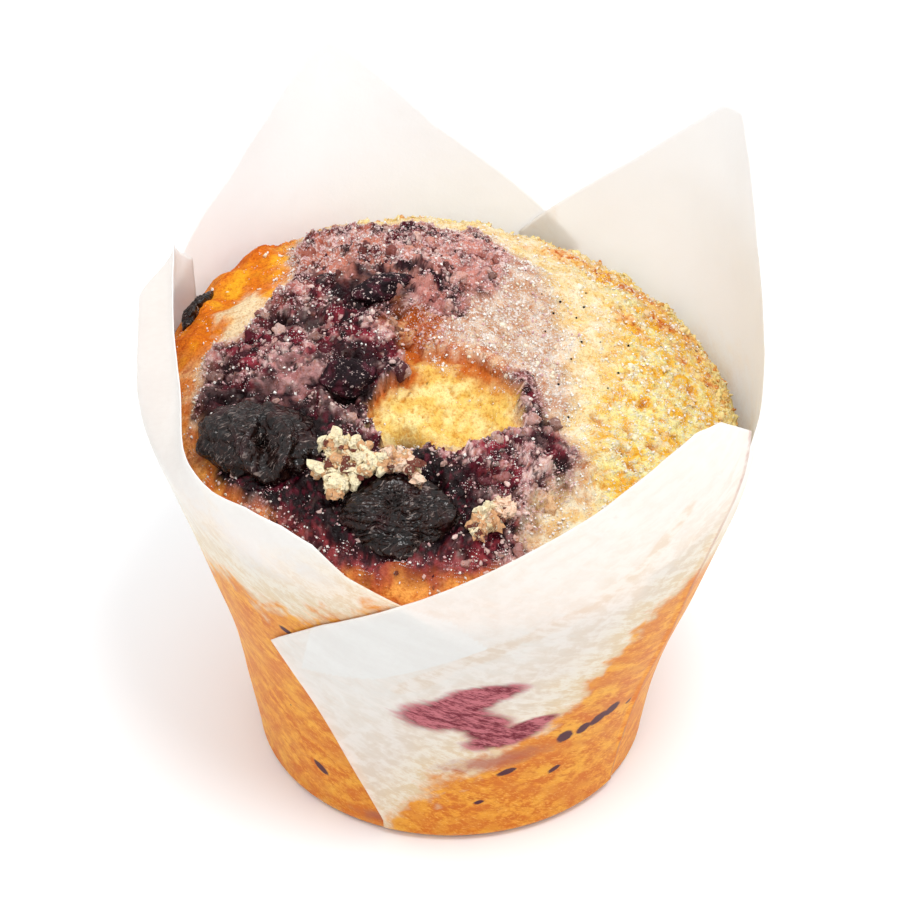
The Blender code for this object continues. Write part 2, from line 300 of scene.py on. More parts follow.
def put_colour(piece, name, colours):
    """Stores a linear colour for each point of a piece."""
    layer = piece.data.color_attributes.new(name, "FLOAT_COLOR", "POINT")
    rgba = np.ones((len(piece.data.vertices), 4))
    rgba[:, :3] = np.clip(colours.reshape(-1, 3), 0.0, 1.0)
    layer.data.foreach_set("color", rgba.ravel())


def put_value(piece, name, values):
    layer = piece.data.attributes.new(name, "FLOAT", "POINT")
    layer.data.foreach_set("value", values.ravel())


def put_vector(piece, name, vectors):
    layer = piece.data.attributes.new(name, "FLOAT_VECTOR", "POINT")
    layer.data.foreach_set("vector", vectors.ravel())


# ---------------------------------------------------------------- material building
class Shader:
    """A node material, written as short calls."""

    def __init__(self, name):
        self.material = bpy.data.materials.new(name)
        self.material.use_nodes = True
        self.tree = self.material.node_tree
        self.surface = self.tree.nodes["Principled BSDF"]

    def node(self, kind, **values):
        made = self.tree.nodes.new(kind)
        for key, value in values.items():
            setattr(made, key, value)
        return made

    def feed(self, node, inputs):
        """Links or sets a node's inputs, given by name or number."""
        for key, value in inputs.items():
            socket = node.inputs[key.replace("_", " ") if isinstance(key, str) else key]
            if hasattr(value, "is_output"):
                self.tree.links.new(value, socket)
            elif socket.type == "RGBA":
                socket.default_value = (*value, 1.0)
            else:
                socket.default_value = value

    def set(self, **values):
        self.feed(self.surface, values)

    def attribute(self, name, output="Fac"):
        return self.node("ShaderNodeAttribute", attribute_name=name).outputs[output]

    def noise(self, vector, scale, detail=3.0, rough=0.55, distortion=0.0):
        made = self.node("ShaderNodeTexNoise")
        self.feed(made, dict(Vector=vector, Scale=scale, Detail=detail))
        self.feed(made, dict(Roughness=rough, Distortion=distortion))
        return made.outputs["Fac"]

    def math(self, operation, a, b):
        made = self.node("ShaderNodeMath", operation=operation)
        self.feed(made, {0: a, 1: b})
        return made.outputs[0]

    def swing(self, value, amount):
        """A value's distance from its middle of one half, times an amount."""
        return self.math("MULTIPLY", self.math("SUBTRACT", value, 0.5), amount)

    def total(self, so_far, *values):
        for value in values:
            so_far = self.math("ADD", so_far, value)
        return so_far

    def ramp(self, value, low, high, start=0.0, end=1.0):
        """start below low, end above high, smooth between."""
        made = self.node("ShaderNodeMapRange", interpolation_type="SMOOTHSTEP")
        self.feed(made, dict(Value=value, From_Min=low, From_Max=high, To_Min=start, To_Max=end))
        return made.outputs[0]

    def blend(self, share, under, over, kind="MIX"):
        made = self.node("ShaderNodeMix", data_type="RGBA", blend_type=kind)
        self.feed(made, {0: share, 6: under, 7: over})
        return made.outputs[2]

    def coat(self, colour, *coats):
        """Lays colours over one another, each where its own value passes along a ramp."""
        for over, *ramp in coats:
            colour = self.blend(self.ramp(*ramp), colour, over)
        return colour

    def scaled(self, vector, scale):
        made = self.node("ShaderNodeVectorMath", operation="SCALE")
        self.feed(made, {0: vector, "Scale": scale})
        return made.outputs[0]

    def stretched(self, vector, along, across, turn):
        """Coordinates in units that are long along a direction of the sheet and short across it."""
        made = self.node("ShaderNodeMapping", vector_type="TEXTURE")
        rotation = (0.0, 0.0, math.radians(turn))
        self.feed(made, dict(Vector=vector, Rotation=rotation, Scale=(along, across, 1.0)))
        return made.outputs["Vector"]

    def position(self):
        """The point's place in mm."""
        return self.scaled(self.node("ShaderNodeNewGeometry").outputs["Position"], 1.0 / MM)

    def bump(self, height, distance, strength):
        made = self.node("ShaderNodeBump")
        self.feed(made, dict(Height=height, Distance=distance * MM, Strength=strength))
        self.set(Normal=made.outputs["Normal"])


# ---------------------------------------------------------------- camera, light and floor
VIEW_ELEVATION = 37.0
VIEW_DISTANCE = 506.8
VIEW_AIM = (-0.13, 35.1)    # across the view, and up along it
LENS = 150.0
SENSOR = 36.0
NEAREST_SEEN = 10.0
SKY_STRENGTH = 1.12
KEY_PLACE = (120.0, -200.0, 640.0)
KEY_AIM = (0.0, 0.0, 40.0)
KEY_SIZE = 220.0
KEY_POWER = 1.8
FLOOR_SIZE = 6000.0
FLOOR_DROP = 0.05
FLOOR_COLOUR = (0.91, 0.955, 0.985)


def make_camera():
    tilt = math.radians(VIEW_ELEVATION)
    back = Vector((0.0, -math.cos(tilt), math.sin(tilt)))
    up = Vector((0.0, math.sin(tilt), math.cos(tilt)))
    place = (Vector((VIEW_AIM[0], 0.0, 0.0)) + up * VIEW_AIM[1] + back * VIEW_DISTANCE) * MM
    data = bpy.data.cameras.new("camera")
    data.lens = LENS
    data.sensor_width = SENSOR
    data.clip_start = NEAREST_SEEN * MM
    camera = bpy.data.objects.new("camera", data)
    camera.matrix_world = Matrix(((1.0, 0.0, 0.0, place.x), (0.0, up.y, back.y, place.y),
                                  (0.0, up.z, back.z, place.z), (0.0, 0.0, 0.0, 1.0)))
    bpy.context.scene.collection.objects.link(camera)
    bpy.context.scene.camera = camera


def make_light():
    data = bpy.data.lights.new("key", "AREA")
    data.shape = "DISK"
    data.size = KEY_SIZE * MM
    data.energy = KEY_POWER
    lamp = bpy.data.objects.new("key", data)
    lamp.location = Vector(KEY_PLACE) * MM
    lamp.rotation_euler = (Vector(KEY_AIM) - Vector(KEY_PLACE)).to_track_quat("-Z", "Y").to_euler()
    bpy.context.scene.collection.objects.link(lamp)


def make_stage():
    scene = bpy.context.scene
    scene.view_settings.view_transform = "Standard"
    scene.world = bpy.data.worlds.new("studio")
    scene.world.use_nodes = True
    sky = scene.world.node_tree.nodes["Background"]
    sky.inputs["Color"].default_value = (1.0, 1.0, 1.0, 1.0)
    sky.inputs["Strength"].default_value = SKY_STRENGTH
    make_light()
    floor = Shader("white_floor")
    floor.set(Base_Color=FLOOR_COLOUR, Roughness=0.9)
    bpy.ops.mesh.primitive_plane_add(size=FLOOR_SIZE * MM, location=(0.0, 0.0, -FLOOR_DROP * MM))
    plane = bpy.context.object
    plane.name = "floor"
    plane.data.materials.append(floor.material)


# ---------------------------------------------------------------- the paper case
PAPER = 0.14                # thickness of the paper itself
SHEET_COLUMNS = 130
SHEET_ROWS = 114
CORNER_ROWS = 8
LOWEST_ROW = 0.06
UPRIGHT_FROM = 2.5          # height from which the side folds slant towards the top edge
LAYER_APART = 7.0           # keeps the noise of the two layers apart
WAVE_SIZE = 15.0            # soft waves and small crinkles of the paper
WAVE_HEIGHT = 0.55
CRINKLE_SIZE = 4.0
CRINKLE_HEIGHT = 0.07
FOLD_SPRING = 0.35          # how far an outer panel's side fold springs off the layer below
STUCK_BELOW = (30.0, 64.0)  # heights over which the paper comes free of the muffin
CALM_SIDES = 0.08           # share of a panel's width at each side where its waves calm down
FOLD_SHADE_LINE = (0.984, 0.992)     # where across its width a dark line is painted along the front panel's right fold: painted shadow, partly grease
NOTCH = (66.0, 69.5)        # directions over which the back right panel is tinted at the notch
BASE_GRID = (12, 97)        # rings and points round them
BASE_APART = 3.0            # keeps the noise of the bottom apart
BASE_GREASE = 12.0
FRONT = 270.0
DEGREE = 0.66               # about one degree of the wall, in mm
NO_MARK = -3.0

# Upper edge of the grease on each panel: (direction, height).
GREASE = {
    "front_left": ((150, 30), (175, 33), (190, 36), (201, 38), (220, 43), (228, 40), (239, 43), (249, 45),
                   (258, 48), (275, 47)),
    "back_left": ((58, 33), (80, 37), (100, 34), (120, 38), (140, 33), (172, 30)),
    "back_right": ((-52, 44), (-40, 41), (-25, 38), (0, 36), (25, 39), (50, 34), (76, 33)),
    "front": ((228, 0), (250, 1), (256, 6), (262, 11), (275, 15), (287, 20), (296, 25), (304, 31), (311, 37),
              (318, 40), (328, 42)),
}
# Marks on each panel as ellipses: (direction, height, reach along, reach up, turn).
MARKS = {
    "juice": {
        "front": ((268.6, 26.4, 5.6, 3.2, 6), (277.5, 31.2, 4.8, 1.7, 6), (272.5, 29, 5, 2.3, 18),
                  (276, 24.6, 4.2, 2.2, -6), (283.5, 21, 5.2, 2.1, 14), (289.5, 23, 3.4, 1.1, 8),
                  (278.5, 22.6, 2.8, 1.9, 0)),
    },
    "smear_and_fold_shade": {
        "front": ((282, 15.8, 9, 2.2, 8),),
        "front_left": ((252, 2.6, 7.5, 1.4, 0), (192, 30, 2.4, 6.5, 0)),
    },
    "dark": {
        "front": ((299.5, 17.6, 1.3, 1.2, 0), (305, 17.8, 1.2, 1, 12), (309.5, 18.4, 1.5, 1.1, 20),
                  (313.8, 18.8, 1.5, 1.1, 10), (321, 17.6, 0.7, 0.4, 0), (284.5, 13.2, 1.5, 0.6, 20),
                  (298.5, 11.2, 1.1, 0.5, 24), (277.5, 7.6, 0.8, 0.4, 20)),
        "front_left": ((231, 8.2, 1.5, 0.7, -38), (233, 36.4, 1.3, 0.55, -12), (224, 18, 0.25, 0.22, 0)),
        "back_right": ((-37, 7, 2.4, 1, 20), (20, 16, 1.6, 1, 0)),
        "back_left": ((110, 12, 2.2, 1.1, 10), (84, 22, 1.2, 0.8, 40)),
    },
}
# A beige streak slanting across the front panel: (direction, height), and its half sizes.
STREAK = ((259, 31), (270, 37), (283, 42), (298, 46), (306, 51), (313, 59))
STREAK_REACH = (6.0, 1.5)
# The corner of the panel below, seen through the front panel.
HIDDEN = ((248, 56), (262, 48.6), (269.8, 46.5), (276.5, 40.9), (266, 37), (255.5, 33), (240, 30))


def wall_radius(direction, height):
    swing = smooth(*SWING_RISE, height) * (1.0 - smooth(*SWING_FADE, height))
    return curve(WALL_RADIUS, height) + WALL_SWING * swing * np.cos(np.radians(direction))


def sheet_radius(direction, height):
    """The wall's radius, turning in under the bottom below its rounded corner."""
    foot = wall_radius(direction, np.maximum(height, CORNER_HEIGHT))
    bend = np.arccos(np.clip(1.0 - height / CORNER_HEIGHT, 0.0, 1.0))
    return np.where(height < CORNER_HEIGHT, BOTTOM_RADIUS + (foot - BOTTOM_RADIUS) * np.sin(bend), foot)


def panel_surface(name):
    """Directions, heights, flat coordinates and points of one panel's middle surface, as grids."""
    layer, (start_left, start_right), lean_from, bellies, edge = PANELS[name]
    edge = np.array(edge)
    top = np.linspace(edge[0, 0], edge[-1, 0], SHEET_COLUMNS)[None, :]
    top_height = np.interp(top, edge[:, 0], edge[:, 1])
    share = (top - edge[0, 0]) / (edge[-1, 0] - edge[0, 0])
    low = np.linspace(LOWEST_ROW, CORNER_HEIGHT, CORNER_ROWS, endpoint=False)
    ups = np.linspace(0.0, 1.0, SHEET_ROWS - CORNER_ROWS)[:, None]
    height = CORNER_HEIGHT + (top_height - CORNER_HEIGHT) * ups
    height = np.concatenate((np.repeat(low[:, None], SHEET_COLUMNS, axis=1), height))
    up = np.clip((height - UPRIGHT_FROM) / (top_height - UPRIGHT_FROM), 0.0, 1.0)
    direction = toward(start_left + (start_right - start_left) * share, top, up)
    radius = sheet_radius(direction, height) + layer * LAYER_STEP * smooth(0.0, 1.5, height)
    radius += curve(edge[:, (0, 2)], top) * smooth(lean_from, 1.0, up)
    for middle, level, reach, reach_up, swell in bellies:
        radius += swell * np.exp(-((direction - middle) / reach) ** 2 - ((height - level) / reach_up) ** 2)
    arc = np.radians(direction) * curve(WALL_RADIUS, height)
    flat = np.stack((arc, height, np.full_like(arc, LAYER_APART * layer)), axis=-1)
    free = smooth(*STUCK_BELOW, height)
    edge_calm = smooth(0.0, CALM_SIDES, share) * smooth(0.0, CALM_SIDES, 1.0 - share) * 0.7 + 0.3
    radius += WAVE_HEIGHT * free * edge_calm * grain(flat * (1.0, 0.6, 1.0), WAVE_SIZE, 5)
    crinkle = grain(flat * (1.0, 0.55, 1.0), CRINKLE_SIZE, 8) + 0.5 * grain(flat, CRINKLE_SIZE / 2, 9)
    radius += CRINKLE_HEIGHT * (0.35 + 0.65 * free) * smooth(1.0, 4.0, height) * crinkle
    if layer:
        sprung = smooth(0.03, 0.0, share) + smooth(0.97, 1.0, share)
        radius += FOLD_SPRING * sprung * smooth(2.0, 14.0, height)
    return direction, height, flat, polar(radius, direction, height)


def new_sheet(name, points, normals, flat, material):
    """A piece of paper round a grid of points, with the grid's flat coordinates stored on it."""
    rows, columns = points.shape[:2]
    count = rows * columns
    both = np.concatenate([(points + normals * side * PAPER / 2).reshape(-1, 3) for side in (1, -1)])
    front = grid_faces(rows, columns)
    ring = grid_border(rows, columns)
    after = np.roll(ring, -1)
    rim = np.stack((after, ring, ring + count, after + count), axis=-1)
    faces = np.concatenate((front, front[:, ::-1] + count, rim)).tolist()
    piece = new_piece(name, both, faces, material)
    put_vector(piece, "sheet", np.tile(flat.reshape(-1, 3), (2, 1)))
    return piece


def paper_material():
    """White paper, its inner face painted whiter than its outer face as painted light, soaked golden by
    grease from below, with juice, smears, a dark line along the front panel's fold that is painted shadow and
    partly grease, and dark spots.
    """
    made = Shader("waxed_paper")
    sheet = made.attribute("sheet", "Vector")
    fibre = made.noise(made.stretched(sheet, 1.6, 0.5, 30.0), 1.0, 4.0, 0.6)
    cloud = made.noise(sheet, 0.17, 3.0, 0.55)
    patchy = made.noise(sheet, 0.55, 4.0, 0.6)
    streak = made.noise(made.stretched(sheet, 5.0, 1.5, 27.0), 1.0, 5.0, 0.62, 0.4)
    fine = made.noise(sheet, 2.4, 4.0, 0.7)
    swing, total, coat = made.swing, made.total, made.coat

    white = coat(srgb(242, 236, 229), (srgb(247, 242, 235), cloud, 0.35, 0.7),
                 (srgb(236, 226, 218), fibre, 0.34, 0.62, 0.16, 0.0))
    # painted light: the inner face of the paper is painted whiter than its outer face
    white = made.blend(made.attribute("brightened_inner"), white, srgb(246, 244, 242))
    veiled = coat(srgb(232, 210, 190), (srgb(246, 232, 220), total(streak, swing(patchy, 0.8)), 0.35, 0.65))
    mottled = total(streak, swing(patchy, 0.9), swing(fine, 0.7))
    beige = coat(srgb(236, 202, 160), (srgb(249, 232, 210), mottled, 0.35, 0.65))
    orange = coat(srgb(218, 108, 10), (srgb(253, 170, 52), mottled, 0.30, 0.70),
                  (srgb(224, 126, 38), cloud, 0.42, 0.66, 0.0, 0.6),
                  (srgb(254, 200, 116), fine, 0.55, 0.70, 0.0, 0.45))
    plum = coat(srgb(112, 20, 40), (srgb(200, 112, 120), total(fine, swing(patchy, 1.0)), 0.34, 0.66))
    tinted = total(made.attribute("tinted"), swing(patchy, 0.5))
    grease = total(made.attribute("grease"), swing(streak, 13.0), swing(cloud, 12.0), swing(patchy, 4.0))
    juice = total(made.attribute("juice"), swing(patchy, 0.75), swing(fine, 0.35))
    smear_and_fold_shade = total(made.attribute("smear_and_fold_shade"), swing(streak, 1.2), swing(patchy, 0.9))
    dark = total(made.attribute("dark"), swing(fine, 0.5), swing(patchy, 0.4))
    soaking = (grease, -1.6, 3.6)
    # the smear colour also draws the painted shadow line along the front panel's fold
    colour = coat(white, (veiled, tinted, 0.25, 0.75), (beige, grease, -14.0, -1.0, 0.0, 0.92),
                  (orange, *soaking), (plum, juice, -0.32, 0.22),
                  (srgb(172, 88, 72), smear_and_fold_shade, -0.1, 0.75, 0.0, 0.75), (srgb(78, 30, 46), dark, -0.08, 0.22))

    made.set(Base_Color=colour, Specular_IOR_Level=0.2)
    made.set(Roughness=made.ramp(made.ramp(*soaking), 0.0, 1.0, 0.62, 0.45))
    made.set(Subsurface_Weight=0.7, Subsurface_Scale=0.65 * MM, Subsurface_Radius=(1.0, 1.0, 1.0))
    made.bump(total(swing(fibre, 0.8), fine), 0.035, 0.5)
    return made.material


def front_tint(direction, height, scale, above_grease):
    """Share of the creamy tint on the front panel, with its streak and the corner behind it."""
    tinted = 0.48 + 0.30 * smooth(-30.0, -4.0, above_grease) - 0.1 * smooth(300.0, 315.0, direction)
    for (there, level), (beyond, above) in zip(STREAK, STREAK[1:]):
        slant = math.degrees(math.atan2(above - level, (beyond - there) * DEGREE))
        line = spot((direction - (there + beyond) / 2) * scale, height, 0.0, (level + above) / 2,
                    *STREAK_REACH, slant)
        tinted = np.maximum(tinted, smooth(-0.6, 0.7, line))
    corner = (np.array(HIDDEN) - (FRONT, 0.0)) * (DEGREE, 1.0)
    hidden = depth_inside((direction - FRONT) * scale, height, corner)
    return tinted * (1.0 - 0.6 * smooth(-0.15, 0.15, hidden))


def make_panel(name, material):
    """One panel of the case, with how deep each point lies in each kind of stain and in the dark line painted
    as shadow along the front panel's fold.
    """
    direction, height, flat, points = panel_surface(name)
    low, high = (np.array(corner) / MM for corner in CAD_BOX)
    points = np.clip(points, low + PAPER, high - PAPER)
    piece = new_sheet("paper_" + name, points, unit(grid_cross(points)), flat, material)
    grease = np.interp(direction, *np.array(GREASE[name]).T) - height
    scale = np.radians(1.0) * curve(WALL_RADIUS, height)
    stains = {"grease": grease, "tinted": np.zeros(height.shape)}
    for kind, panels in MARKS.items():
        stains[kind] = np.full(height.shape, NO_MARK)
        for there, level, reach, reach_up, turn in panels.get(name, ()):
            here = spot((direction - there) * scale, height, 0.0, level, reach, reach_up, turn)
            stains[kind] = np.maximum(stains[kind], here)
    if name == "front":
        stains["tinted"] = front_tint(direction, height, scale, grease)
        # painted shadow: a dark line along the front panel's right fold, partly grease, stored with the
        # smears
        fold_shade = smooth(*FOLD_SHADE_LINE, np.linspace(0.0, 1.0, SHEET_COLUMNS))
        stains["smear_and_fold_shade"] = np.maximum(stains["smear_and_fold_shade"], 0.6 * fold_shade - 0.3)
    if name == "back_right":
        stains["tinted"] = 0.4 * smooth(*NOTCH, direction)
    for kind, values in stains.items():
        put_value(piece, kind, np.tile(values.ravel(), 2))
    # which face is the inner one, painted whiter by the paper material as painted light
    put_value(piece, "brightened_inner", np.repeat((0.0, 1.0), height.size))


def make_base(material):
    """The case's flat bottom, soaked with grease all over."""
    rings, points_round = BASE_GRID
    radius = np.linspace(0.0, BOTTOM_RADIUS + 0.1, rings)[:, None]
    disc = polar(radius, np.linspace(0.0, 360.0, points_round)[None, :], PAPER / 2 + 0.01)
    flat = disc * (1.0, 1.0, 0.0) + (0.0, 0.0, BASE_APART)
    base = new_sheet("paper_base", disc, np.broadcast_to((0.0, 0.0, -1.0), disc.shape), flat, material)
    count = len(base.data.vertices)
    put_value(base, "grease", np.full(count, BASE_GREASE))
    for name in ("juice", "smear_and_fold_shade", "dark", "tinted", "brightened_inner"):
        put_value(base, name, np.full(count, NO_MARK))
    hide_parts("paper_case")


def make_case(material):
    for name in PANELS:
        make_panel(name, material)
    make_base(material)


# ---------------------------------------------------------------- the muffin's top
GRID = 270                  # cells across the top
SLOPE_STEP = 0.15           # how far to each side the heights are taken that give the top's slope
SLOPE_INWARD = 0.995        # keeps them off the very rim
UPRIGHT_RIM = (0.80, 0.93)  # share of the radius over which the relief turns to stand upright
COLLAR = 1.6                # how far the juice round a berry reaches
CRUST_FROM = (0.90, 0.97)   # share of the radius over which the rim's crust begins
ZONE_WARP = 1.2             # how ragged the zones' borders are, in mm
LUMP_WARP = 0.9             # how uneven the lumps and the small lumps are, in mm
SMALL_WARP = 0.4

# Zones of the top as outlines of (x, y).
PURPLE = ((-20, 25.5), (-13, 29), (4, 28.5), (6, 23), (7.5, 16.5), (4.5, 7.5), (-0.5, 2.5), (-2, -3.2),
          (5, -7.5), (7.4, -5.8), (9, -5.2), (11.5, -8), (12.4, -11.5), (14, -14), (16, -17), (15, -21),
          (12.5, -24.5), (9.5, -28), (10.5, -31), (1.8, -34.6), (-3.5, -34.6), (-11.6, -33.9), (-16.9, -32.4),
          (-21, -27.2), (-27.6, -22.2), (-29.2, -17.6), (-30.4, -13.9), (-31.4, -10), (-31.2, -6.8),
          (-30.9, -3), (-29.4, 1), (-26.5, 1.8), (-22.5, 6.8), (-21, 12), (-20.5, 18))
PATCH = ((-5.4, -1.8), (-1.8, -2.2), (2.5, -4), (5.2, -6), (7.9, -6.8), (8.4, -10.6), (9.2, -12.1),
         (8.2, -13.9), (4.8, -16), (1.8, -17.4), (-2.1, -18.9), (-5, -19.3), (-7.4, -18.9), (-8.8, -17.7),
         (-9.8, -16), (-10.6, -13.6), (-10.4, -11.2), (-8.2, -9.4), (-5.6, -7.8), (-6.2, -5))
# Where the berries' black juice has pooled.
POOL = ((-30.6, -13.2), (-27.9, -11.6), (-23.3, -11.2), (-18.5, -12.6), (-12.9, -16.2), (-6.2, -19.6),
        (-1.3, -20.4), (2.6, -24.8), (2.6, -29.7), (-2.5, -32.2), (-8.5, -32.6), (-14.6, -29.8), (-20.7, -26),
        (-26.9, -22.2), (-30.4, -18.7))
SHOULDER = ((-20, 27), (-20.5, 16), (-22, 8), (-25.5, 3.2), (-29.6, 2.2), (-31.5, -2), (-31.8, -13),
            (-30.5, -17), (-37, -18), (-40, 0), (-38, 16), (-28, 32))
DUSTED = ((-1, 21), (4, 21.5), (9, 20), (13, 15), (14.5, 4), (15.5, -7.5), (13.5, -10), (11, -7.5), (8, -7),
          (4, -5.5), (-2, -3.5), (-3, 2.5), (-1.5, 5.5), (4, 12))
CRUMBLY = ((14, 26), (20, 18), (21.5, 7), (20, -2), (18, -8), (17, -15), (18, -22), (26, -26), (40, -6),
           (36, 14), (24, 30))

# How strongly each kind of unevenness shows in each zone, in mm: lumps, small lumps, grit,
# pores, fine, middling and broad roughness, and the zone's own level.
RELIEFS = {
    "soft_crumb": (0, 0.20, 0.14, -0.30, 0.20, 0, 0.20, -0.136),
    "open_crumb": (0.25, 0.45, 0.26, -0.35, 0.26, 0, 0.28, -0.3615),
    "sugar": (0, 0.30, 0.24, 0, 0.20, 0, 0.25, -0.216),
    "crust": (0, 0, 0.06, 0, 0.10, 0, 0.30, 0),
    "streusel": (0.60, 0.22, 0.12, 0, 0.38, 0.80, 1.00, -0.056),
    "jam": (0, 0, 0, 0, 0.25, 0.40, 0.50, 0.05),
    "pool": (0, 0, 0, 0, 0.50, 0.50, 0, 0.85),
}
# Lumps of crust along the far rim: (x, y, reach, rise).
RIM_LUMPS = ((-29.5, 18.5, 2.6, 1.6), (-25.5, 24.5, 3, 1.5), (-32.5, 12.5, 2, 0.8), (-33.5, 5, 2.2, 0.9),
             (-16, 31.5, 3, 0.8), (-4, 34, 4, 0.9), (4, 35, 2.4, 0.7), (11, 33.5, 2.2, 0.6),
             (17.5, 31, 2, 0.8), (23.5, 27, 2.4, 0.6), (28.5, 21.5, 1.8, 0.8), (32, 16.5, 1.8, 0.5),
             (35, 8.5, 1.7, 0.9), (35.8, 2, 1.5, 0.7), (35.5, -4.5, 1.6, 0.9), (20.5, 29.5, 1.2, 0.6),
             (30.5, 19, 1.1, 0.6), (34, 12, 1.1, 0.6))
# Holes and hollows of the top, painted dark inside as shade: (x, y, reach, depth).
HOLES = ((-22, 2.5, 1.6, 1.6), (-6, 9, 1.4, 1.2), (-11.5, 4, 1.5, 1.2), (-13.5, -11, 1.2, 1.3),
         (-10.5, -10, 1.1, 1.2), (-12.5, -4.5, 1.2, 1), (-6.5, 2, 1, 1), (-15, 5, 1.2, 1.2), (0, 4, 0.9, 0.9),
         (-1, 10.5, 1, 1), (-26, -8, 1.3, 1.2), (-23, -8.8, 1.3, 1.3), (-28, -9.2, 1, 1), (8, -4, 0.9, 0.9),
         (11.5, -12, 0.9, 0.9), (13.5, -19, 1.3, 1), (-2.5, -24, 1.4, 1.2), (-5.5, -17.6, 2.2, 1.8),
         (-12, -10.8, 1.4, 1.3), (-18, 12, 1.3, 1), (-14, 17, 1.2, 0.9), (-20, -6, 1.2, 1), (-17, 1, 1.1, 1))
# Pits of the open crumb on the right: (x, y, reach), and how much they are squeezed in y.
OPEN_PITS = ((18.5, -9.5, 0.9), (21.5, -9, 0.9), (20.5, -13, 0.8), (22, -15, 0.7), (24, -5, 0.8),
             (27, -2, 0.7), (20, 3, 0.6), (25, -11, 0.7), (23, 1, 0.6), (16.5, -18, 0.7), (28.5, -8, 0.6),
             (24.5, 6, 0.6), (30, 3, 0.6))
PIT_SQUEEZE = 1.8
# Dark, juicy parts of the streusel: (x, y, reach, reach, turn).
JUICY = ((-16.5, -17.5, 6, 4.5, 20), (-12, -5, 5, 3.4, 30), (-27, -8.6, 3.6, 2, 0), (-7, 7.5, 7, 2.4, 20),
         (-19, 3, 5.5, 2, -10), (2, -23.5, 4, 3, -40), (-28.5, -4.5, 3.6, 3, 0), (-4.5, -14.5, 1.4, 1, 0),
         (12, -15.5, 3, 2.2, 10), (11.3, -10.5, 1.4, 3.4, 15), (-27.5, -14, 4.5, 3, 60), (-14, 9, 4, 2, 0),
         (3.5, 8, 2, 2.6, 20))
# Toasted streaks of the rim: (x, y, reach, reach, turn).
TOASTED = ((24.5, 21, 7, 2.8, -40), (23.5, 11.5, 4.2, 1.9, -55), (31.5, 14.5, 5, 2.4, -60),
           (16, 27, 6.5, 2.2, -15), (34, 7, 3, 1.8, -80), (27, 16, 4, 2, -45), (30.5, 8, 3.4, 1.2, -70),
           (20, 23.5, 3, 2, -20))
# Single places whose colour differs: (x, y, reach, reach, turn).
ORANGE_LIP = (-3.0, -0.8, 6.4, 3.8, -35)
CREAM_STREAK = (-26.3, 7.0, 3.6, 6.5, 0)
TAN_CORNER = (13, -24.5, 6.5, 4.0, 45)
PINK_MIDDLE = (-1.0, 14.0, 10.0, 11.0, 0)
MAUVE_BACK = (-14.5, 15.5, 10.0, 7.0, 10)
FROSTY_LEFT = (-18.5, -8.5, 4.5, 3.5, 0)
SPECKS = ((11.5, 12), (14, 11.5), (13, 8.5), (16, 8.5), (19, 5), (22.5, 6.5), (15, 0), (17.5, 16), (21, 0.5),
          (9.5, 15.5), (12, 4.5), (17, 12.5), (24.5, 12), (19.5, -4), (13.5, -5.5), (27, 9), (10.5, 18),
          (22, 14.5), (16.5, 3.5), (14.5, -10))


def rim_height(x, y):
    return RIM_HEIGHT + RIM_FALL_X * x + RIM_RISE_Y * y


def rim_level(direction):
    turn = np.radians(direction)
    return rim_height(RIM_REACH * np.cos(turn), RIM_REACH * np.sin(turn))


def rim_radius(direction):
    return wall_radius(direction, rim_level(direction)) - WALL_THICK / 2 - GAP


def top_height(x, y):
    """Height of the muffin's top, as the CAD has it."""
    fraction = np.minimum(np.hypot(x, y) / rim_radius(np.degrees(np.arctan2(y, x))), 1.0)
    height = rim_height(x, y) + DOME_HEIGHT * (1.0 - fraction * fraction) ** DOME_POWER
    fade = 1.0 - smooth(*CALM_RIM, fraction)
    for cx, cy, reach_x, reach_y, amount in TOP_RELIEF:
        distance = ((x - cx) / reach_x) ** 2 + ((y - cy) / reach_y) ** 2
        height += fade * amount * np.exp(-RELIEF_SPREAD * distance)
    places = np.stack((x.ravel(), y.ravel()), axis=-1) / LUMP_SIZE
    lump = np.array([noise.noise(Vector((px, py, 0.0))) for px, py in places]).reshape(x.shape)
    return height + fade * LUMP_HEIGHT * lump


def disc_grid(cells):
    """A square grid pressed into a round one: share of the radius and direction."""
    line = np.linspace(-1.0, 1.0, cells + 1)
    u, v = np.meshgrid(line, line, indexing="xy")
    wide = np.abs(u) > np.abs(v)
    share = np.where(wide, np.abs(u), np.abs(v))
    slope = np.where(wide, v / np.where(u == 0, 1, u), u / np.where(v == 0, 1, v))
    angle = np.where(wide, np.pi / 4 * slope + np.where(u < 0, np.pi, 0.0),
                     np.pi / 2 - np.pi / 4 * slope + np.where(v < 0, np.pi, 0.0))
    return share, np.degrees(angle)


def paint_over(colour, *coats):
    """Lays colours over one another, each with its own share."""
    for over, share in coats:
        colour = mix(colour, over, share)
    return colour


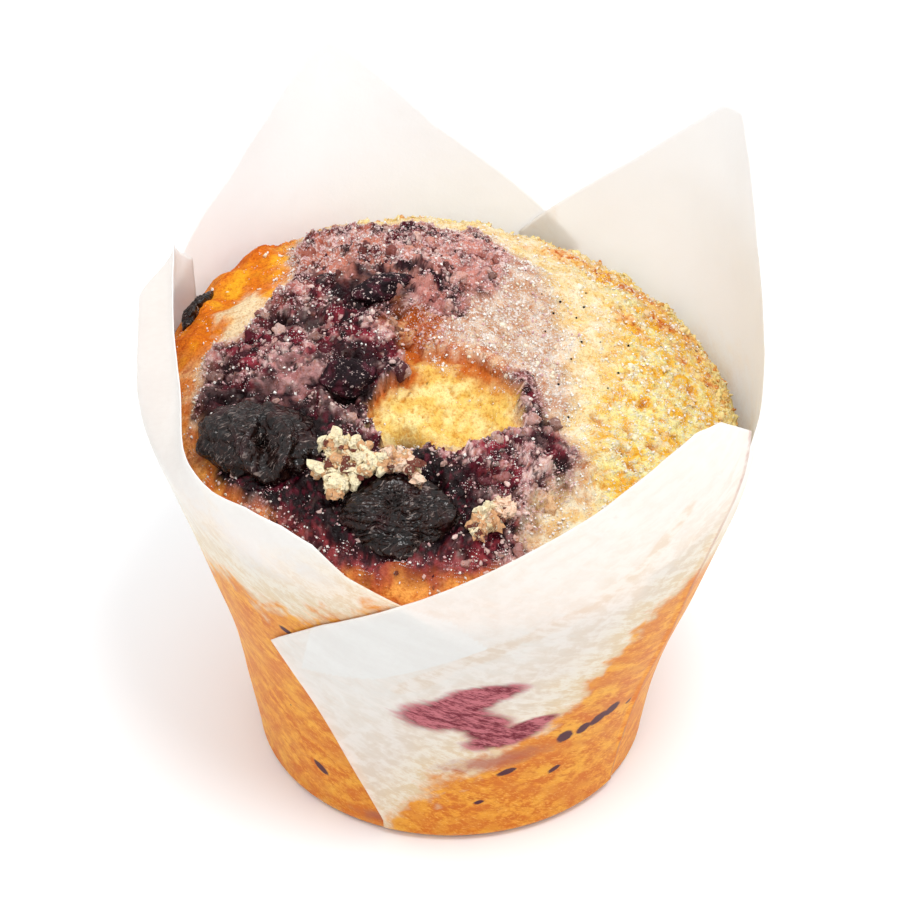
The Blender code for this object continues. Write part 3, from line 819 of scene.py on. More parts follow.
class Top:
    """The muffin's top as a grid of points, with what lies where."""

    def __init__(self):
        self.share, self.direction = disc_grid(GRID)
        turn = np.radians(self.direction)
        radius = rim_radius(self.direction) * self.share
        self.x, self.y = radius * np.cos(turn), radius * np.sin(turn)
        self.base = np.stack((self.x, self.y, top_height(self.x, self.y)), axis=-1)
        x, y = self.x * SLOPE_INWARD, self.y * SLOPE_INWARD
        slope_x = (top_height(x + SLOPE_STEP, y) - top_height(x - SLOPE_STEP, y)) / (2 * SLOPE_STEP)
        slope_y = (top_height(x, y + SLOPE_STEP) - top_height(x, y - SLOPE_STEP)) / (2 * SLOPE_STEP)
        normal = unit(np.stack((-slope_x, -slope_y, np.ones_like(x)), axis=-1))
        outward = toward(normal, np.array((0.0, 0.0, 1.0)), smooth(*UPRIGHT_RIM, self.share)[..., None])
        self.find_zones()
        self.points = self.base + outward * self.relief()[..., None]
        cross = grid_cross(self.points)
        self.normals = unit(cross)
        self.area = np.linalg.norm(cross, axis=-1)
        self.mottle = rough(self.base, 2.4, 4, 100)
        self.blotch = rough(self.base, 7.0, 3, 110)
        self.fleck = rough(self.base, 0.7, 2, 120)
        self.both = self.mottle + self.fleck
        self.paint()

    def depth(self, outline):
        return depth_inside(self.warped_x, self.warped_y, outline)

    def near(self, *ellipse):
        return spot(self.warped_x, self.warped_y, *ellipse)

    def mound(self, cx, cy, reach, squeeze=1.0):
        away = (self.warped_x - cx) ** 2 + (squeeze * (self.warped_y - cy)) ** 2
        return np.exp(-away / reach**2)

    def find_zones(self):
        """Each zone's share at each point, its border made ragged by noise."""
        p = self.base
        self.warped_x, self.warped_y = np.moveaxis(p[..., :2] + ZONE_WARP * sway(p, 4.0, 4, 30, 7, 2), -1, 0)
        self.purple_depth = self.depth(PURPLE)
        self.patch_depth = self.depth(PATCH) + 0.7 * rough(p, 1.3, 3, 155)
        self.patch = smooth(-0.2, 0.3, self.patch_depth)
        self.purple = smooth(-0.7, 0.8, self.purple_depth) * (1.0 - self.patch)
        self.pool = smooth(-0.8, 0.9, self.depth(POOL) + 0.8 * rough(p, 1.6, 2, 145))
        self.lip = smooth(-0.2, 0.45, self.near(*ORANGE_LIP) + 0.4 * rough(p, 2.0, 3, 150))
        self.shoulder = smooth(-0.5, 0.8, self.depth(SHOULDER))
        self.dusted = smooth(-2.2, 2.2, self.depth(DUSTED))
        self.crumbly = smooth(-3.0, 3.0, self.depth(CRUMBLY))
        self.stained = smooth(4.2, 2.2, self.purple_depth) * smooth(8.0, 3.0, self.x)
        self.stained *= smooth(-19.0, -23.0, self.y - 0.25 * self.x)
        ahead = smooth(-8.0, -20.0, self.y) * smooth(10.0, 2.0, self.x)
        self.rim_crust = smooth(*CRUST_FROM, self.share + 0.16 * ahead + 0.015 * rough(p, 5.0, 3, 50))
        self.halo = smooth(-3.2, 0.4, self.purple_depth + 1.6 * rough(p, 2.6, 3, 135))
        self.halo *= (1.0 - self.rim_crust) * (1.0 - 0.7 * self.shoulder)

    def relief(self):
        """How far the surface stands off the CAD's smooth top, in mm."""
        p = self.base
        bent = p + LUMP_WARP * sway(p, 2.2, 3, 60)
        lumps, _ = stones(bent, 2.4, 61, 0.4, 0.5, 0.8, 1.2)
        small, _ = stones(p + SMALL_WARP * sway(p, 1.0, 2, 160), 1.0, 71, 0.35, 0.5, 0.9, 1.2)
        grit_near, _, grit_tone, _ = pebbles(p, 0.6, 77)
        grit = smooth(0.75, 0.1, grit_near) * (0.3 + 0.7 * grit_tone)
        pore_near, _, pore_tone, _ = pebbles(bent * (1.0, 1.3, 1.0), 1.25, 91)
        pores = smooth(0.46, 0.14, pore_near) * (pore_tone > 0.40)
        fine = rough(p, 0.8, 2, 80)
        broad = rough(p, 6.0, 3, 83)
        middling = rough(p, 3.4, 2, 86)
        self.lumps, self.small, self.pores, self.middling = lumps, small, pores, middling

        parts = (lumps, small, grit, pores, fine, middling, broad, 1.0)
        soft_crumb, open_crumb, sugar, crust, streusel, jam, pool = (
            sum(share * part for share, part in zip(shares, parts)) for shares in RELIEFS.values())
        crust = toward(crust, open_crumb + 0.3 * lumps, smooth(-10.0, 10.0, self.x + self.y))
        streusel = toward(toward(streusel, jam, self.stained), pool, self.pool * 0.7)
        height = toward(toward(soft_crumb, open_crumb, self.crumbly), sugar, self.dusted)
        height = toward(height, crust, np.maximum(self.rim_crust * 0.8, 0.7 * self.shoulder))
        height = toward(height, streusel, self.purple)
        height = toward(height, 1.3 * soft_crumb - 1.0, self.patch)
        brink = np.exp(-((self.patch_depth + 0.5) / 0.7) ** 2) * smooth(-13.0, -9.0, self.y)
        height += 0.6 * brink * (1.0 - self.patch)
        for *place, rise in RIM_LUMPS:
            height += rise * self.mound(*place)
        self.pit = np.max([self.mound(*place, PIT_SQUEEZE) for place in OPEN_PITS], axis=0)
        height -= self.pit
        self.hole = np.zeros_like(height)
        for *place, deep in HOLES:
            here = self.mound(*place)
            self.hole = np.maximum(self.hole, here)
            height -= deep * here
        self.juicy = 0.9 * self.pool
        for (cx, cy, _), (rx, ry, _), turn, _ in BERRIES.values():
            here = self.near(cx, cy, rx + COLLAR, ry + COLLAR, turn)
            self.juicy = np.maximum(self.juicy, smooth(-0.22, 0.12, here))
            collar = np.exp(-((here - 0.02) / 0.13) ** 2)
            height += 0.9 * collar * self.purple * np.clip(0.6 + 1.2 * broad, 0.0, 1.4)
        for place in JUICY:
            self.juicy = np.maximum(self.juicy, smooth(-0.1, 0.5, self.near(*place)))
        return height

    def crumb_paint(self):
        """The pale crumb, the open golden crumb on the right and its toasted streaks, with a deeper orange
        painted in the pores and pits as shade.
        """
        mottle, fleck = self.mottle, self.fleck
        # painted shade: the pores of the pale and golden crumb get a deeper orange
        pale = paint_over((249, 224, 164), ((255, 240, 204), smooth(-0.3, 0.5, mottle)),
                          ((246, 200, 104), smooth(0.2, 0.7, fleck - 0.4 * mottle) * 0.7),
                          ((248, 196, 104), self.pores * 0.6))
        golden = paint_over((255, 218, 92), ((255, 244, 168), smooth(-0.35, 0.35, mottle)),
                            ((246, 180, 40), smooth(0.0, 0.4, -mottle - 0.5 * fleck) * 0.75),
                            ((250, 172, 48), self.pores * 0.85),
                            ((255, 246, 214), smooth(0.45, 0.9, self.small) * 0.7))
        streaks = [smooth(-0.3, 0.8, self.near(*place) + 0.5 * mottle) for place in TOASTED]
        self.toast = np.max(streaks, axis=0)
        # painted shade: the pits get a deeper orange
        return paint_over(pale, (golden, self.crumbly), ((222, 140, 20), self.pit * 0.95),
                          ((238, 150, 44), self.toast * smooth(-0.6, 0.2, self.both) * 0.8),
                          ((204, 92, 22), self.toast * smooth(0.1, 0.4, fleck + 0.5 * self.blotch) * 0.85))

    def dusty_paint(self):
        return paint_over((214, 172, 146), ((244, 220, 198), smooth(-0.2, 0.5, self.mottle)),
                          ((190, 134, 104), smooth(0.1, 0.6, self.fleck - 0.6 * self.mottle) * 0.6))

    def shoulder_paint(self):
        """The smooth golden crust on the left, browner outwards and peachy in front."""
        mottle = self.mottle
        outward = smooth(0.84, 0.94, self.share + 0.03 * mottle)
        peachy = mix((236, 140, 62), (255, 204, 140), smooth(-0.3, 0.4, mottle))
        return paint_over((250, 174, 34), ((230, 124, 16), smooth(-0.3, 0.4, self.blotch + 0.5 * mottle)),
                          ((250, 226, 182), smooth(-0.1, 0.45, self.near(*CREAM_STREAK) + 0.4 * mottle)),
                          ((234, 122, 30), outward * 0.75), (peachy, smooth(4.0, -4.0, self.y)),
                          ((186, 62, 20), smooth(0.2, 0.6, self.fleck + 0.6 * mottle) * outward * 0.65))

    def crust_paint(self, golden_back):
        """The rim, orange in front and golden at the back."""
        mottle = self.mottle
        golden = mix((255, 242, 166), (255, 200, 96), smooth(0.15, 0.5, mottle))
        return paint_over((252, 168, 76), ((228, 118, 38), smooth(-0.4, 0.4, mottle + self.blotch)),
                          ((164, 60, 28), smooth(0.35, 0.75, self.fleck + 0.6 * mottle) * 0.6),
                          (golden, golden_back * 0.9))

    def plum_paint(self, ridge, edge_pale):
        """The juice-soaked streusel: low gaps and holes painted dark as shade, raised lumps paler with frost
        and partly painted light, frosted ridges, jam in front, pooled juice.
        """
        mottle, fleck, both = self.mottle, self.fleck, self.both
        grainy = rough(self.base, 0.55, 1, 125)
        frosted = rough(self.base, 1.9, 3, 127) + 0.5 * self.blotch + 0.25 * self.middling
        raised = self.lumps + 0.5 * self.small - 0.6
        jam = paint_over((62, 10, 24), ((156, 62, 66), smooth(-0.3, 0.5, both)),
                         ((206, 94, 44), smooth(1.2, 0.2, self.purple_depth + 0.7 * mottle) * 0.55))
        black = mix((17, 5, 9), (92, 16, 36), smooth(0.1, 0.5, fleck + 0.4 * mottle))
        lip = mix((198, 98, 28), (236, 184, 126), smooth(-0.1, 0.5, both))
        pinkish = smooth(-0.3, 0.5, self.near(*PINK_MIDDLE) + 0.3 * mottle)
        frosty = smooth(-0.2, 0.6, self.near(*FROSTY_LEFT) + 0.3 * mottle)
        mauve = smooth(-0.2, 0.6, self.near(*MAUVE_BACK) + 0.3 * mottle)
        speckled = smooth(-0.35, 0.3, mottle + 0.6 * fleck)
        return paint_over(
            (46, 8, 20), ((150, 50, 64), smooth(-0.35, 0.45, mottle + 0.4 * fleck)),
            # paler on the raised lumps: sugar frost and partly painted light
            ((214, 160, 158), smooth(-0.1, 0.35, frosted + 0.25 * grainy + 0.3 * raised) * 0.8),
            ((250, 222, 214), smooth(0.3, 0.6, grainy + 0.5 * frosted + 0.3 * raised) * 0.75),
            # painted shade: near black in the low gaps between the lumps
            ((24, 5, 12), smooth(0.34, 0.04, self.lumps) * 0.75),
            ((28, 6, 14), smooth(0.1, 0.5, -fleck - 0.5 * mottle - 0.3 * frosted) * 0.9),
            ((128, 20, 46), smooth(0.1, 0.5, 0.6 * fleck - frosted) * 0.4),
            ((226, 142, 124), ridge * smooth(-0.3, 0.4, mottle + self.blotch) * 0.7),
            ((196, 120, 92), smooth(12.0, 24.0, self.y) * smooth(0.0, 0.6, mottle) * 0.6),
            ((206, 146, 130), edge_pale * smooth(-0.5, 0.2, mottle) * 0.55),
            ((34, 8, 16), self.juicy * smooth(-0.7, 0.1, fleck - 0.4 * mottle) * 0.85),
            (jam, self.stained * 0.85), (black, self.pool * 0.9), (lip, self.lip * 0.85),
            # painted shade: the holes near black
            ((18, 7, 10), self.hole * 0.95),
            ((226, 158, 146), pinkish * smooth(-0.4, 0.3, mottle + 0.5 * fleck) * 0.7),
            ((206, 152, 150), frosty * speckled * 0.6), ((216, 140, 116), mauve * speckled * 0.65))

    def bare_paint(self, low_edge):
        """The bare yellow hollow, with orange-brown painted shade along its upper edge under the overhang, a
        dusty lower edge, and painted shade in its pores and holes.
        """
        overhang_shade = smooth(3.4, 0.2, self.patch_depth + 0.8 * self.mottle)
        overhang_shade = overhang_shade * smooth(-13.0, -7.0, self.y - 0.3 * self.x)
        # painted shade: orange-brown along the upper edge under the overhang, and a deeper orange in the
        # pores
        return paint_over((247, 204, 104), ((255, 232, 156), smooth(-0.4, 0.4, self.mottle)),
                          ((226, 160, 46), self.pores * 0.8), ((204, 96, 24), overhang_shade * 0.95),
                          ((232, 190, 158), low_edge * smooth(-0.5, 0.2, self.mottle) * 0.7),
                          # painted shade: the holes dark brown
                          ((104, 48, 20), self.hole * 0.95))

    def paint(self):
        """The colour of each point, of the sugar on it, and how much sugar and gloss there is."""
        mottle, both = self.mottle, self.both
        brow = smooth(-3.4, -0.6, self.patch_depth + 0.6 * mottle) * smooth(-11.0, -7.0, self.y)
        golden_back = smooth(-2.0, 16.0, self.x + 0.5 * self.y)
        ridge = smooth(3.0, 14.0, self.y)
        edge_pale = smooth(2.0, 0.0, self.purple_depth)
        low_edge = smooth(2.6, 0.2, self.patch_depth) * smooth(-11.0, -16.0, self.y - 0.4 * self.x)
        tan = smooth(-0.1, 0.8, self.near(*TAN_CORNER) + 0.4 * mottle)
        self.colour = paint_over(
            self.crumb_paint(), (self.dusty_paint(), self.dusted * 0.92),
            (mix((204, 112, 50), (236, 190, 146), smooth(-0.1, 0.5, both)), brow * 0.9),
            (self.shoulder_paint(), self.shoulder),
            (self.crust_paint(golden_back), self.rim_crust * (1.0 - self.shoulder * 0.5) * 0.95),
            (mix((196, 132, 112), (232, 196, 176), smooth(-0.3, 0.4, both)), self.halo * 0.75),
            (self.plum_paint(ridge, edge_pale), self.purple),
            (mix((242, 200, 130), (255, 243, 208), smooth(-0.3, 0.4, mottle)), tan * 0.85),
            (self.bare_paint(low_edge), self.patch))
        self.dust = paint_over((255, 248, 228), ((250, 240, 232), self.dusted),
                               ((244, 214, 210), self.purple), ((255, 244, 214), self.patch))

        frost = toward(0.35, 0.42, self.crumbly) * (1.0 - 0.6 * self.toast)
        frost = toward(frost, 0.52 - 0.3 * brow, self.dusted)
        frost *= (1.0 - 0.75 * self.shoulder) * (1.0 - 0.8 * self.rim_crust * (1.0 - golden_back))
        sugared = 0.31 + 0.22 * ridge + 0.10 * edge_pale + 0.16 * self.blotch + 0.10 * (self.lumps - 0.4)
        sugared = sugared * (1.0 - 0.8 * self.juicy) - 0.3 * self.hole - 0.14 * self.stained
        frost = toward(frost, sugared, self.purple)
        self.frost = np.clip(toward(frost, 0.22 + 0.25 * low_edge, self.patch), 0.0, 1.0)
        self.wet = np.clip(self.purple * 0.4 + 0.6 * self.juicy * self.purple, 0.0, 1.0)


def crumb_material(name, dust, frost, contrast, roughness, specular, relief, speck_relief):
    """A tint broken by grain, lighter on the raised grain and darker and browner in the low grain, partly
    random tone and partly painted light and shade following the bump, with specks of sugar on as large a
    share of it as frost says.

    Dust, frost and roughness are values, or the names of the attributes that hold them.
    """
    made = Shader(name)
    place = made.position()
    both = made.total(made.noise(place, 1.5, 3.0, 0.6), made.noise(place, 3.6, 2.0, 0.6))
    # painted light and shade: the noise that raises the bump also lightens the raised grain and darkens the
    # low grain towards brown
    lit = made.scaled(made.attribute("tint", "Color"), made.ramp(both, 1.0, 1.28, 1.0, 1.0 + 0.65 * contrast))
    low_grain_shade = made.blend(1.0, lit, (0.78, 0.50, 0.30), "MULTIPLY")
    grain_shaded = made.blend(made.ramp(both, 0.72, 1.02, 2.2 * contrast, 0.0), lit, low_grain_shade)
    if isinstance(frost, str):
        frost, dust = made.attribute(frost), made.attribute(dust, "Color")
    level = made.total(made.math("MULTIPLY", both, 0.5), made.swing(frost, 0.30))
    specks = made.ramp(level, 0.52, 0.575)
    if isinstance(roughness, str):
        roughness = made.ramp(made.attribute(roughness), 0.0, 1.0, 0.7, 0.22)
    made.set(Base_Color=made.blend(made.math("MULTIPLY", specks, 0.85), grain_shaded, dust), Roughness=roughness)
    made.set(Specular_IOR_Level=specular)
    made.bump(made.total(both, made.math("MULTIPLY", specks, speck_relief)), *relief)
    return made.material


SIDE_LEVELS = (0.08, 0.2, 0.35, 0.5, 0.65, 0.8, 0.92, 1.0)
CORNER_BENDS = (60.0, 30.0, 0.0)


def make_cake(top, material):
    """The dense top, joined to the plain sides and bottom under the paper."""
    size = GRID + 1
    border = grid_border(size, size)
    around = top.direction.ravel()[border]
    high = rim_level(around)
    corner = CAKE_BOTTOM + CORNER_HEIGHT
    rings = []
    for down in SIDE_LEVELS:
        level = high + (corner - high) * down
        cup_share = 1.0 - smooth(*LEVEL_CUP, level)
        clearance = GAP + toward(WALL_THICK / 2, CUP_INSIDE, cup_share)
        rings.append(polar(wall_radius(around, level) - clearance, around, level))
    flat = BOTTOM_RADIUS - CUP_INSIDE - GAP
    foot = wall_radius(around, np.full_like(around, corner)) - CUP_INSIDE - GAP
    for bend in np.radians(CORNER_BENDS):
        radius = flat + (foot - flat) * np.sin(bend)
        rings.append(polar(radius, around, corner - CORNER_HEIGHT * np.cos(bend)))
    rings.append(polar(flat * 0.5, around, CAKE_BOTTOM))
    faces = [grid_faces(size, size)]
    before = border
    start = size * size
    for _ in rings:
        here = np.arange(start, start + len(border))
        faces.append(np.stack((before, here, np.roll(here, -1), np.roll(before, -1)), axis=-1))
        before = here
        start += len(border)
    cap = [(int(a), start, int(b)) for a, b in zip(before, np.roll(before, -1))]
    side = np.concatenate((*rings, [(0.0, 0.0, CAKE_BOTTOM)]))
    cake = new_piece("muffin_body", np.concatenate((top.points.reshape(-1, 3), side)),
                     np.concatenate(faces).tolist() + cap, material)
    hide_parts("cake")
    brown = mix((222, 140, 62), (196, 100, 38), smooth(-0.3, 0.4, rough(side, 5.0, 3, 7)))
    for name, colours in (("tint", top.colour), ("dust", top.dust)):
        put_colour(cake, name, np.concatenate((colours.reshape(-1, 3), brown)))
    for name, values in (("frost", top.frost), ("wet", top.wet)):
        put_value(cake, name, np.concatenate((values.ravel(), np.zeros(len(side)))))


# ---------------------------------------------------------------- scattered things
# Crumbs on the top: count, fineness of the mesh, size (least, more, power), share of their own
# colour, chance of the rare colour off and on the purple, that colour, the usual one off and on
# the purple, slot, and shape: share sunk in, knobbliness, size of the knobs, squash, salt.
CRUMB_KINDS = {
    "streusel_lumps": (80, 3, (0.5, 0.75, 2.0), (0.1, 0.7), (0.45, 0.45), (236, 196, 184), (84, 24, 40),
                       (84, 24, 40), "dark_berry", (0.48, 0.75, 0.75, (1.0, 0.8, 0.65), 3)),
    "fine_crumbs": (1500, 2, (0.16, 0.30, 2.0), (0.2, 1.0), (0.0, 0.3), (70, 16, 30), (255, 250, 226),
                    (240, 208, 200), "streusel", (0.5, 0.9, 0.7, (1.0, 0.8, 0.55), 5)),
    "rim_crumbs": (900, 2, (0.16, 0.5, 2.6), (0.3, 0.9), (0.3, 0.3), (226, 134, 48), (255, 234, 160),
                   (255, 234, 160), "streusel", (0.52, 1.1, 0.6, (1.0, 0.7, 0.4), 8)),
}
CRYSTALS = 20000
CRYSTAL_SHAPE = (0.25, 0.2, 1.0, (1.0, 0.8, 0.9), 6)
CRYSTAL = (np.array(((0.8, 0.1, 0.0), (0.0, 0.7, 0.1), (-0.8, 0.0, 0.1), (0.1, -0.7, 0.0), (0.1, 0.1, 0.9),
                     (0.0, -0.1, -0.8))),
           np.array(((0, 1, 4), (1, 2, 4), (2, 3, 4), (3, 0, 4), (1, 0, 5), (2, 1, 5), (3, 2, 5), (0, 3, 5))))
SPECK_SIZES = (0.12, 0.2)
SPECK_SHAPE = (0.4, 0.2, 1.0, (1.0, 1.0, 1.0), 0)


def ball(detail):
    """Points and triangles of a unit icosphere."""
    made = bmesh.new()
    bmesh.ops.create_icosphere(made, subdivisions=detail, radius=1.0)
    points = np.array([v.co[:] for v in made.verts])
    faces = np.array([[v.index for v in f.verts] for f in made.faces])
    made.free()
    return points, faces


def random_turns(rng, count):
    """Uniformly random rotation matrices."""
    q = rng.normal(size=(count, 4))
    q /= np.linalg.norm(q, axis=1, keepdims=True)
    w, x, y, z = q.T
    return np.stack((1 - 2 * (y * y + z * z), 2 * (x * y - z * w), 2 * (x * z + y * w),
                     2 * (x * y + z * w), 1 - 2 * (x * x + z * z), 2 * (y * z - x * w),
                     2 * (x * z - y * w), 2 * (y * z + x * w), 1 - 2 * (x * x + y * y)),
                    axis=-1).reshape(-1, 3, 3)


def many(solid, rng, centres, sizes, knobbly, knob, squash, salt):
    """Points and faces of many copies of a solid, each turned and made uneven at random."""
    points, faces = solid
    count = len(centres)
    turned = np.einsum("kij,vj->kvi", random_turns(rng, count), points * squash)
    own = rng.uniform(-50.0, 50.0, size=(count, 1, 3))
    uneven = turned * (1.0 + knobbly * grain(turned + own, knob, salt)[..., None])
    index = faces[None] + (np.arange(count) * len(points))[:, None, None]
    placed = uneven * sizes[:, None, None] + centres[:, None, :]
    return placed.reshape(-1, 3), index.reshape(-1, faces.shape[1])


def strew(top, rng, name, solid, spots, sizes, colours, material, shape):
    """Many small bodies on given points of the top, joined into one piece."""
    sink, *form = shape
    places, normals = (grid.reshape(-1, 3)[spots] for grid in (top.points, top.normals))
    centres = places + normals * (sizes * (1.0 - 2.0 * sink))[:, None]
    points, faces = many(solid, rng, centres, sizes, *form)
    piece = new_piece(name, points, faces.tolist(), material, solid is CRYSTAL)
    put_colour(piece, "tint", np.repeat(colours, len(solid[0]), axis=0))


def pick(top, rng, count, weight):
    """Random points of the top, as likely as their weight and their area."""
    chance = (np.clip(weight, 0.0, None) * top.area).ravel()
    return rng.choice(chance.size, size=count, replace=False, p=chance / chance.sum())


def make_crumbs(top, rng, name, weight, material):
    count, detail, (least, more, power), own, chances, *tints, slot, shape = CRUMB_KINDS[name]
    rare, usual, usual_purple = (linear(tint) for tint in tints)
    picked = pick(top, rng, count, weight)
    sizes = least + more * rng.random(count) ** power
    share = rng.uniform(*own, count)
    purple = top.purple.ravel()[picked] > 0.5
    is_rare = rng.random(count) < np.where(purple, chances[1], chances[0])
    over = np.where(purple[:, None], usual_purple, usual)
    over[is_rare] = rare
    colours = mix(top.colour.reshape(-1, 3)[picked], over, share)
    strew(top, rng, name, ball(detail), picked, sizes, colours, material, shape)


def make_crystals(top, rng, material):
    """Coarse sugar in clumps, rosy where it lies on the purple streusel."""
    weight = top.purple * (0.22 + 0.42 * smooth(-5, 12, top.y)) * (1.0 - 0.92 * top.juicy)
    weight = weight + top.dusted * 1.1 + top.crumbly * 0.15 + 0.05
    weight = weight + 0.4 * smooth(3.0, 0.0, np.abs(top.purple_depth))
    clump = smooth(0.0, 0.6, rough(top.base, 2.0, 4, 140)) ** 2.0 + 0.03
    weight = weight * clump * (1.0 - 0.9 * top.patch) * smooth(0.98, 0.95, top.share)
    weight = weight * (1.0 - 0.8 * top.shoulder) * (1.0 - 0.6 * top.rim_crust)
    picked = pick(top, rng, CRYSTALS, weight)
    sizes = 0.04 + 0.08 * rng.random(CRYSTALS) + 0.26 * rng.random(CRYSTALS) ** 9.0
    rosy = rng.random(CRYSTALS) < (0.65 * top.purple + 0.25 * top.dusted).ravel()[picked]
    tints = np.where(rosy[:, None], linear((226, 180, 182)), linear((255, 250, 244)))
    strew(top, rng, "sugar_crystals", CRYSTAL, picked, sizes, tints, material, CRYSTAL_SHAPE)


def make_specks(top, rng, material):
    flat = top.points.reshape(-1, 3)
    nearest = [int(np.argmin((flat[:, 0] - x) ** 2 + (flat[:, 1] - y) ** 2)) for x, y in SPECKS]
    count = len(SPECKS)
    sizes = rng.uniform(*SPECK_SIZES, count)
    tints = np.tile(linear((30, 18, 14)), (count, 1))
    strew(top, rng, "black_specks", ball(1), nearest, sizes, tints, material, SPECK_SHAPE)


def sugar_material():
    made = Shader("sugar")
    made.set(Base_Color=made.attribute("tint", "Color"), Roughness=0.25, Specular_IOR_Level=0.5)
    made.bump(made.noise(made.position(), 3.0, 2.0, 0.5), 0.05, 0.4)
    return made.material


def make_streusel(top, rng, lump, pale_crumb, sugar):
    """Lumps, crumbs, crystals and specks, one piece for each kind."""
    dry = 1.0 - top.juicy
    lumpy = top.purple * (1.0 - smooth(0.4, 0.8, top.hole)) * (0.2 + 0.8 * dry)
    lumpy = lumpy * smooth(0.975, 0.94, top.share)
    make_crumbs(top, rng, "streusel_lumps", lumpy, lump)
    crumby = top.purple * (0.3 + 0.7 * dry) + top.dusted * 0.5 + top.crumbly * 0.35 + 0.08
    crumby = crumby * smooth(0.985, 0.95, top.share) * (1.0 - top.patch)
    make_crumbs(top, rng, "fine_crumbs", crumby, pale_crumb)
    rim = smooth(0.88, 0.965, top.share) * smooth(0.99, 0.98, top.share)
    rim = rim * smooth(2.0, 16.0, top.x + 0.6 * top.y) * (1.0 - top.purple)
    make_crumbs(top, rng, "rim_crumbs", rim, pale_crumb)
    make_crystals(top, rng, sugar)
    make_specks(top, rng, lump)


# ---------------------------------------------------------------- berries
# How each berry's skin has shrivelled, seen from its eye, the spot its folds run round: the
# eye's direction, how wide the folds are for their height, their spacing and depth, the ring
# round the eye (radius, width, height), the eye's depth and reach, and the mesh.
SHRIVELS = {
    "berry_left": ((0.10, -0.76, 0.65), 1, 1.5, 0.65, (2.5, 0.9, 1.7), 2.4, (1, 2.4), (240, 130)),
    "berry_front": ((-0.02, -0.30, 0.95), 1.8, 1.15, 0.60, (1.6, 0.7, 0.5), 0.9, (1.6, 0.6), (250, 130)),
    "berry_middle": ((0.2, -0.3, 0.9), 1.2, 1.2, 0.35, (1.4, 0.7, 0.3), 0.5, (0.7, 0.7), (120, 64)),
    "berry_top": ((0.6, -0.4, 0.6), 1.8, 0.8, 0.25, (1.2, 0.6, 0.2), 0.3, (0.5, 0.5), (120, 64)),
    "berry_side": ((-0.3, -0.4, 0.85), 2.5, 0.6, 0.30, (1.2, 0.6, 0.1), 0.2, (0.5, 0.5), (110, 60)),
}
FROSTED = ("berry_middle", "berry_top")             # berries crusted with sugar and streusel
SKIN_SHARE = (0.95, 0.82)                           # share of the CAD's size, plain and frosted
PRESSED = {"berry_side": (1.05, 0.6, 0.8)}          # half sizes of a berry pressed flatter
DRAWN_OUT = {"berry_left": 1.3}                     # stretch of a berry's right half


def turn_matrix(turn, tilt):
    return np.array(Matrix.Rotation(math.radians(turn), 3, "Z") @ Matrix.Rotation(math.radians(tilt), 3, "X"))


def berry_material():
    """Near-black skin with pale flecks along fine streaks, partly dried glaze and partly painted highlights.
    """
    made = Shader("berry_skin")
    place = made.position()
    crinkle = made.noise(place, 1.3, 1.6, 0.5, 0.8)
    broad = made.noise(place, 0.25, 2.0, 0.5)
    tint = made.coat(srgb(8, 3, 3), (srgb(42, 20, 15), crinkle, 0.35, 0.7),
                     (srgb(52, 9, 14), broad, 0.5, 0.75))
    glint_streaks = made.noise(made.stretched(place, 1.5, 0.24, 25.0), 1.0, 3.0, 0.6, 0.8)
    glint_patches = made.ramp(made.noise(place, 0.5), 0.42, 0.62, 0.1, 0.75)
    # painted highlights: pale streaks in the base colour where the skin should glint, partly dried glaze
    glints = made.math("MULTIPLY", made.ramp(glint_streaks, 0.57, 0.67), glint_patches)
    made.set(Base_Color=made.blend(glints, tint, srgb(176, 158, 150)), Specular_IOR_Level=0.3)
    made.set(Roughness=made.ramp(broad, 0.35, 0.65, 0.13, 0.25))
    made.bump(crinkle, 0.24, 1.0)
    return made.material


def globe(segments, rings):
    """Points of a unit sphere, ring by ring with the poles last, and its faces."""
    around = np.linspace(0.0, 2 * np.pi, segments, endpoint=False)[None, :]
    down = np.linspace(0.0, np.pi, rings)[1:-1, None]
    grid = np.broadcast_arrays(np.sin(down) * np.cos(around), np.sin(down) * np.sin(around), np.cos(down))
    points = np.concatenate((np.stack(grid, axis=-1).reshape(-1, 3), ((0.0, 0.0, 1.0), (0.0, 0.0, -1.0))))
    i, j = np.meshgrid(np.arange(rings - 3), np.arange(segments), indexing="ij")
    a = (i * segments + j).ravel()
    b = (i * segments + (j + 1) % segments).ravel()
    faces = np.stack((a, a + segments, b + segments, b), axis=-1).tolist()
    north = (rings - 2) * segments
    last = north - segments
    for k in range(segments):
        after = (k + 1) % segments
        faces += [(north, k, after), (last + after, last + k, north + 1)]
    return points, faces


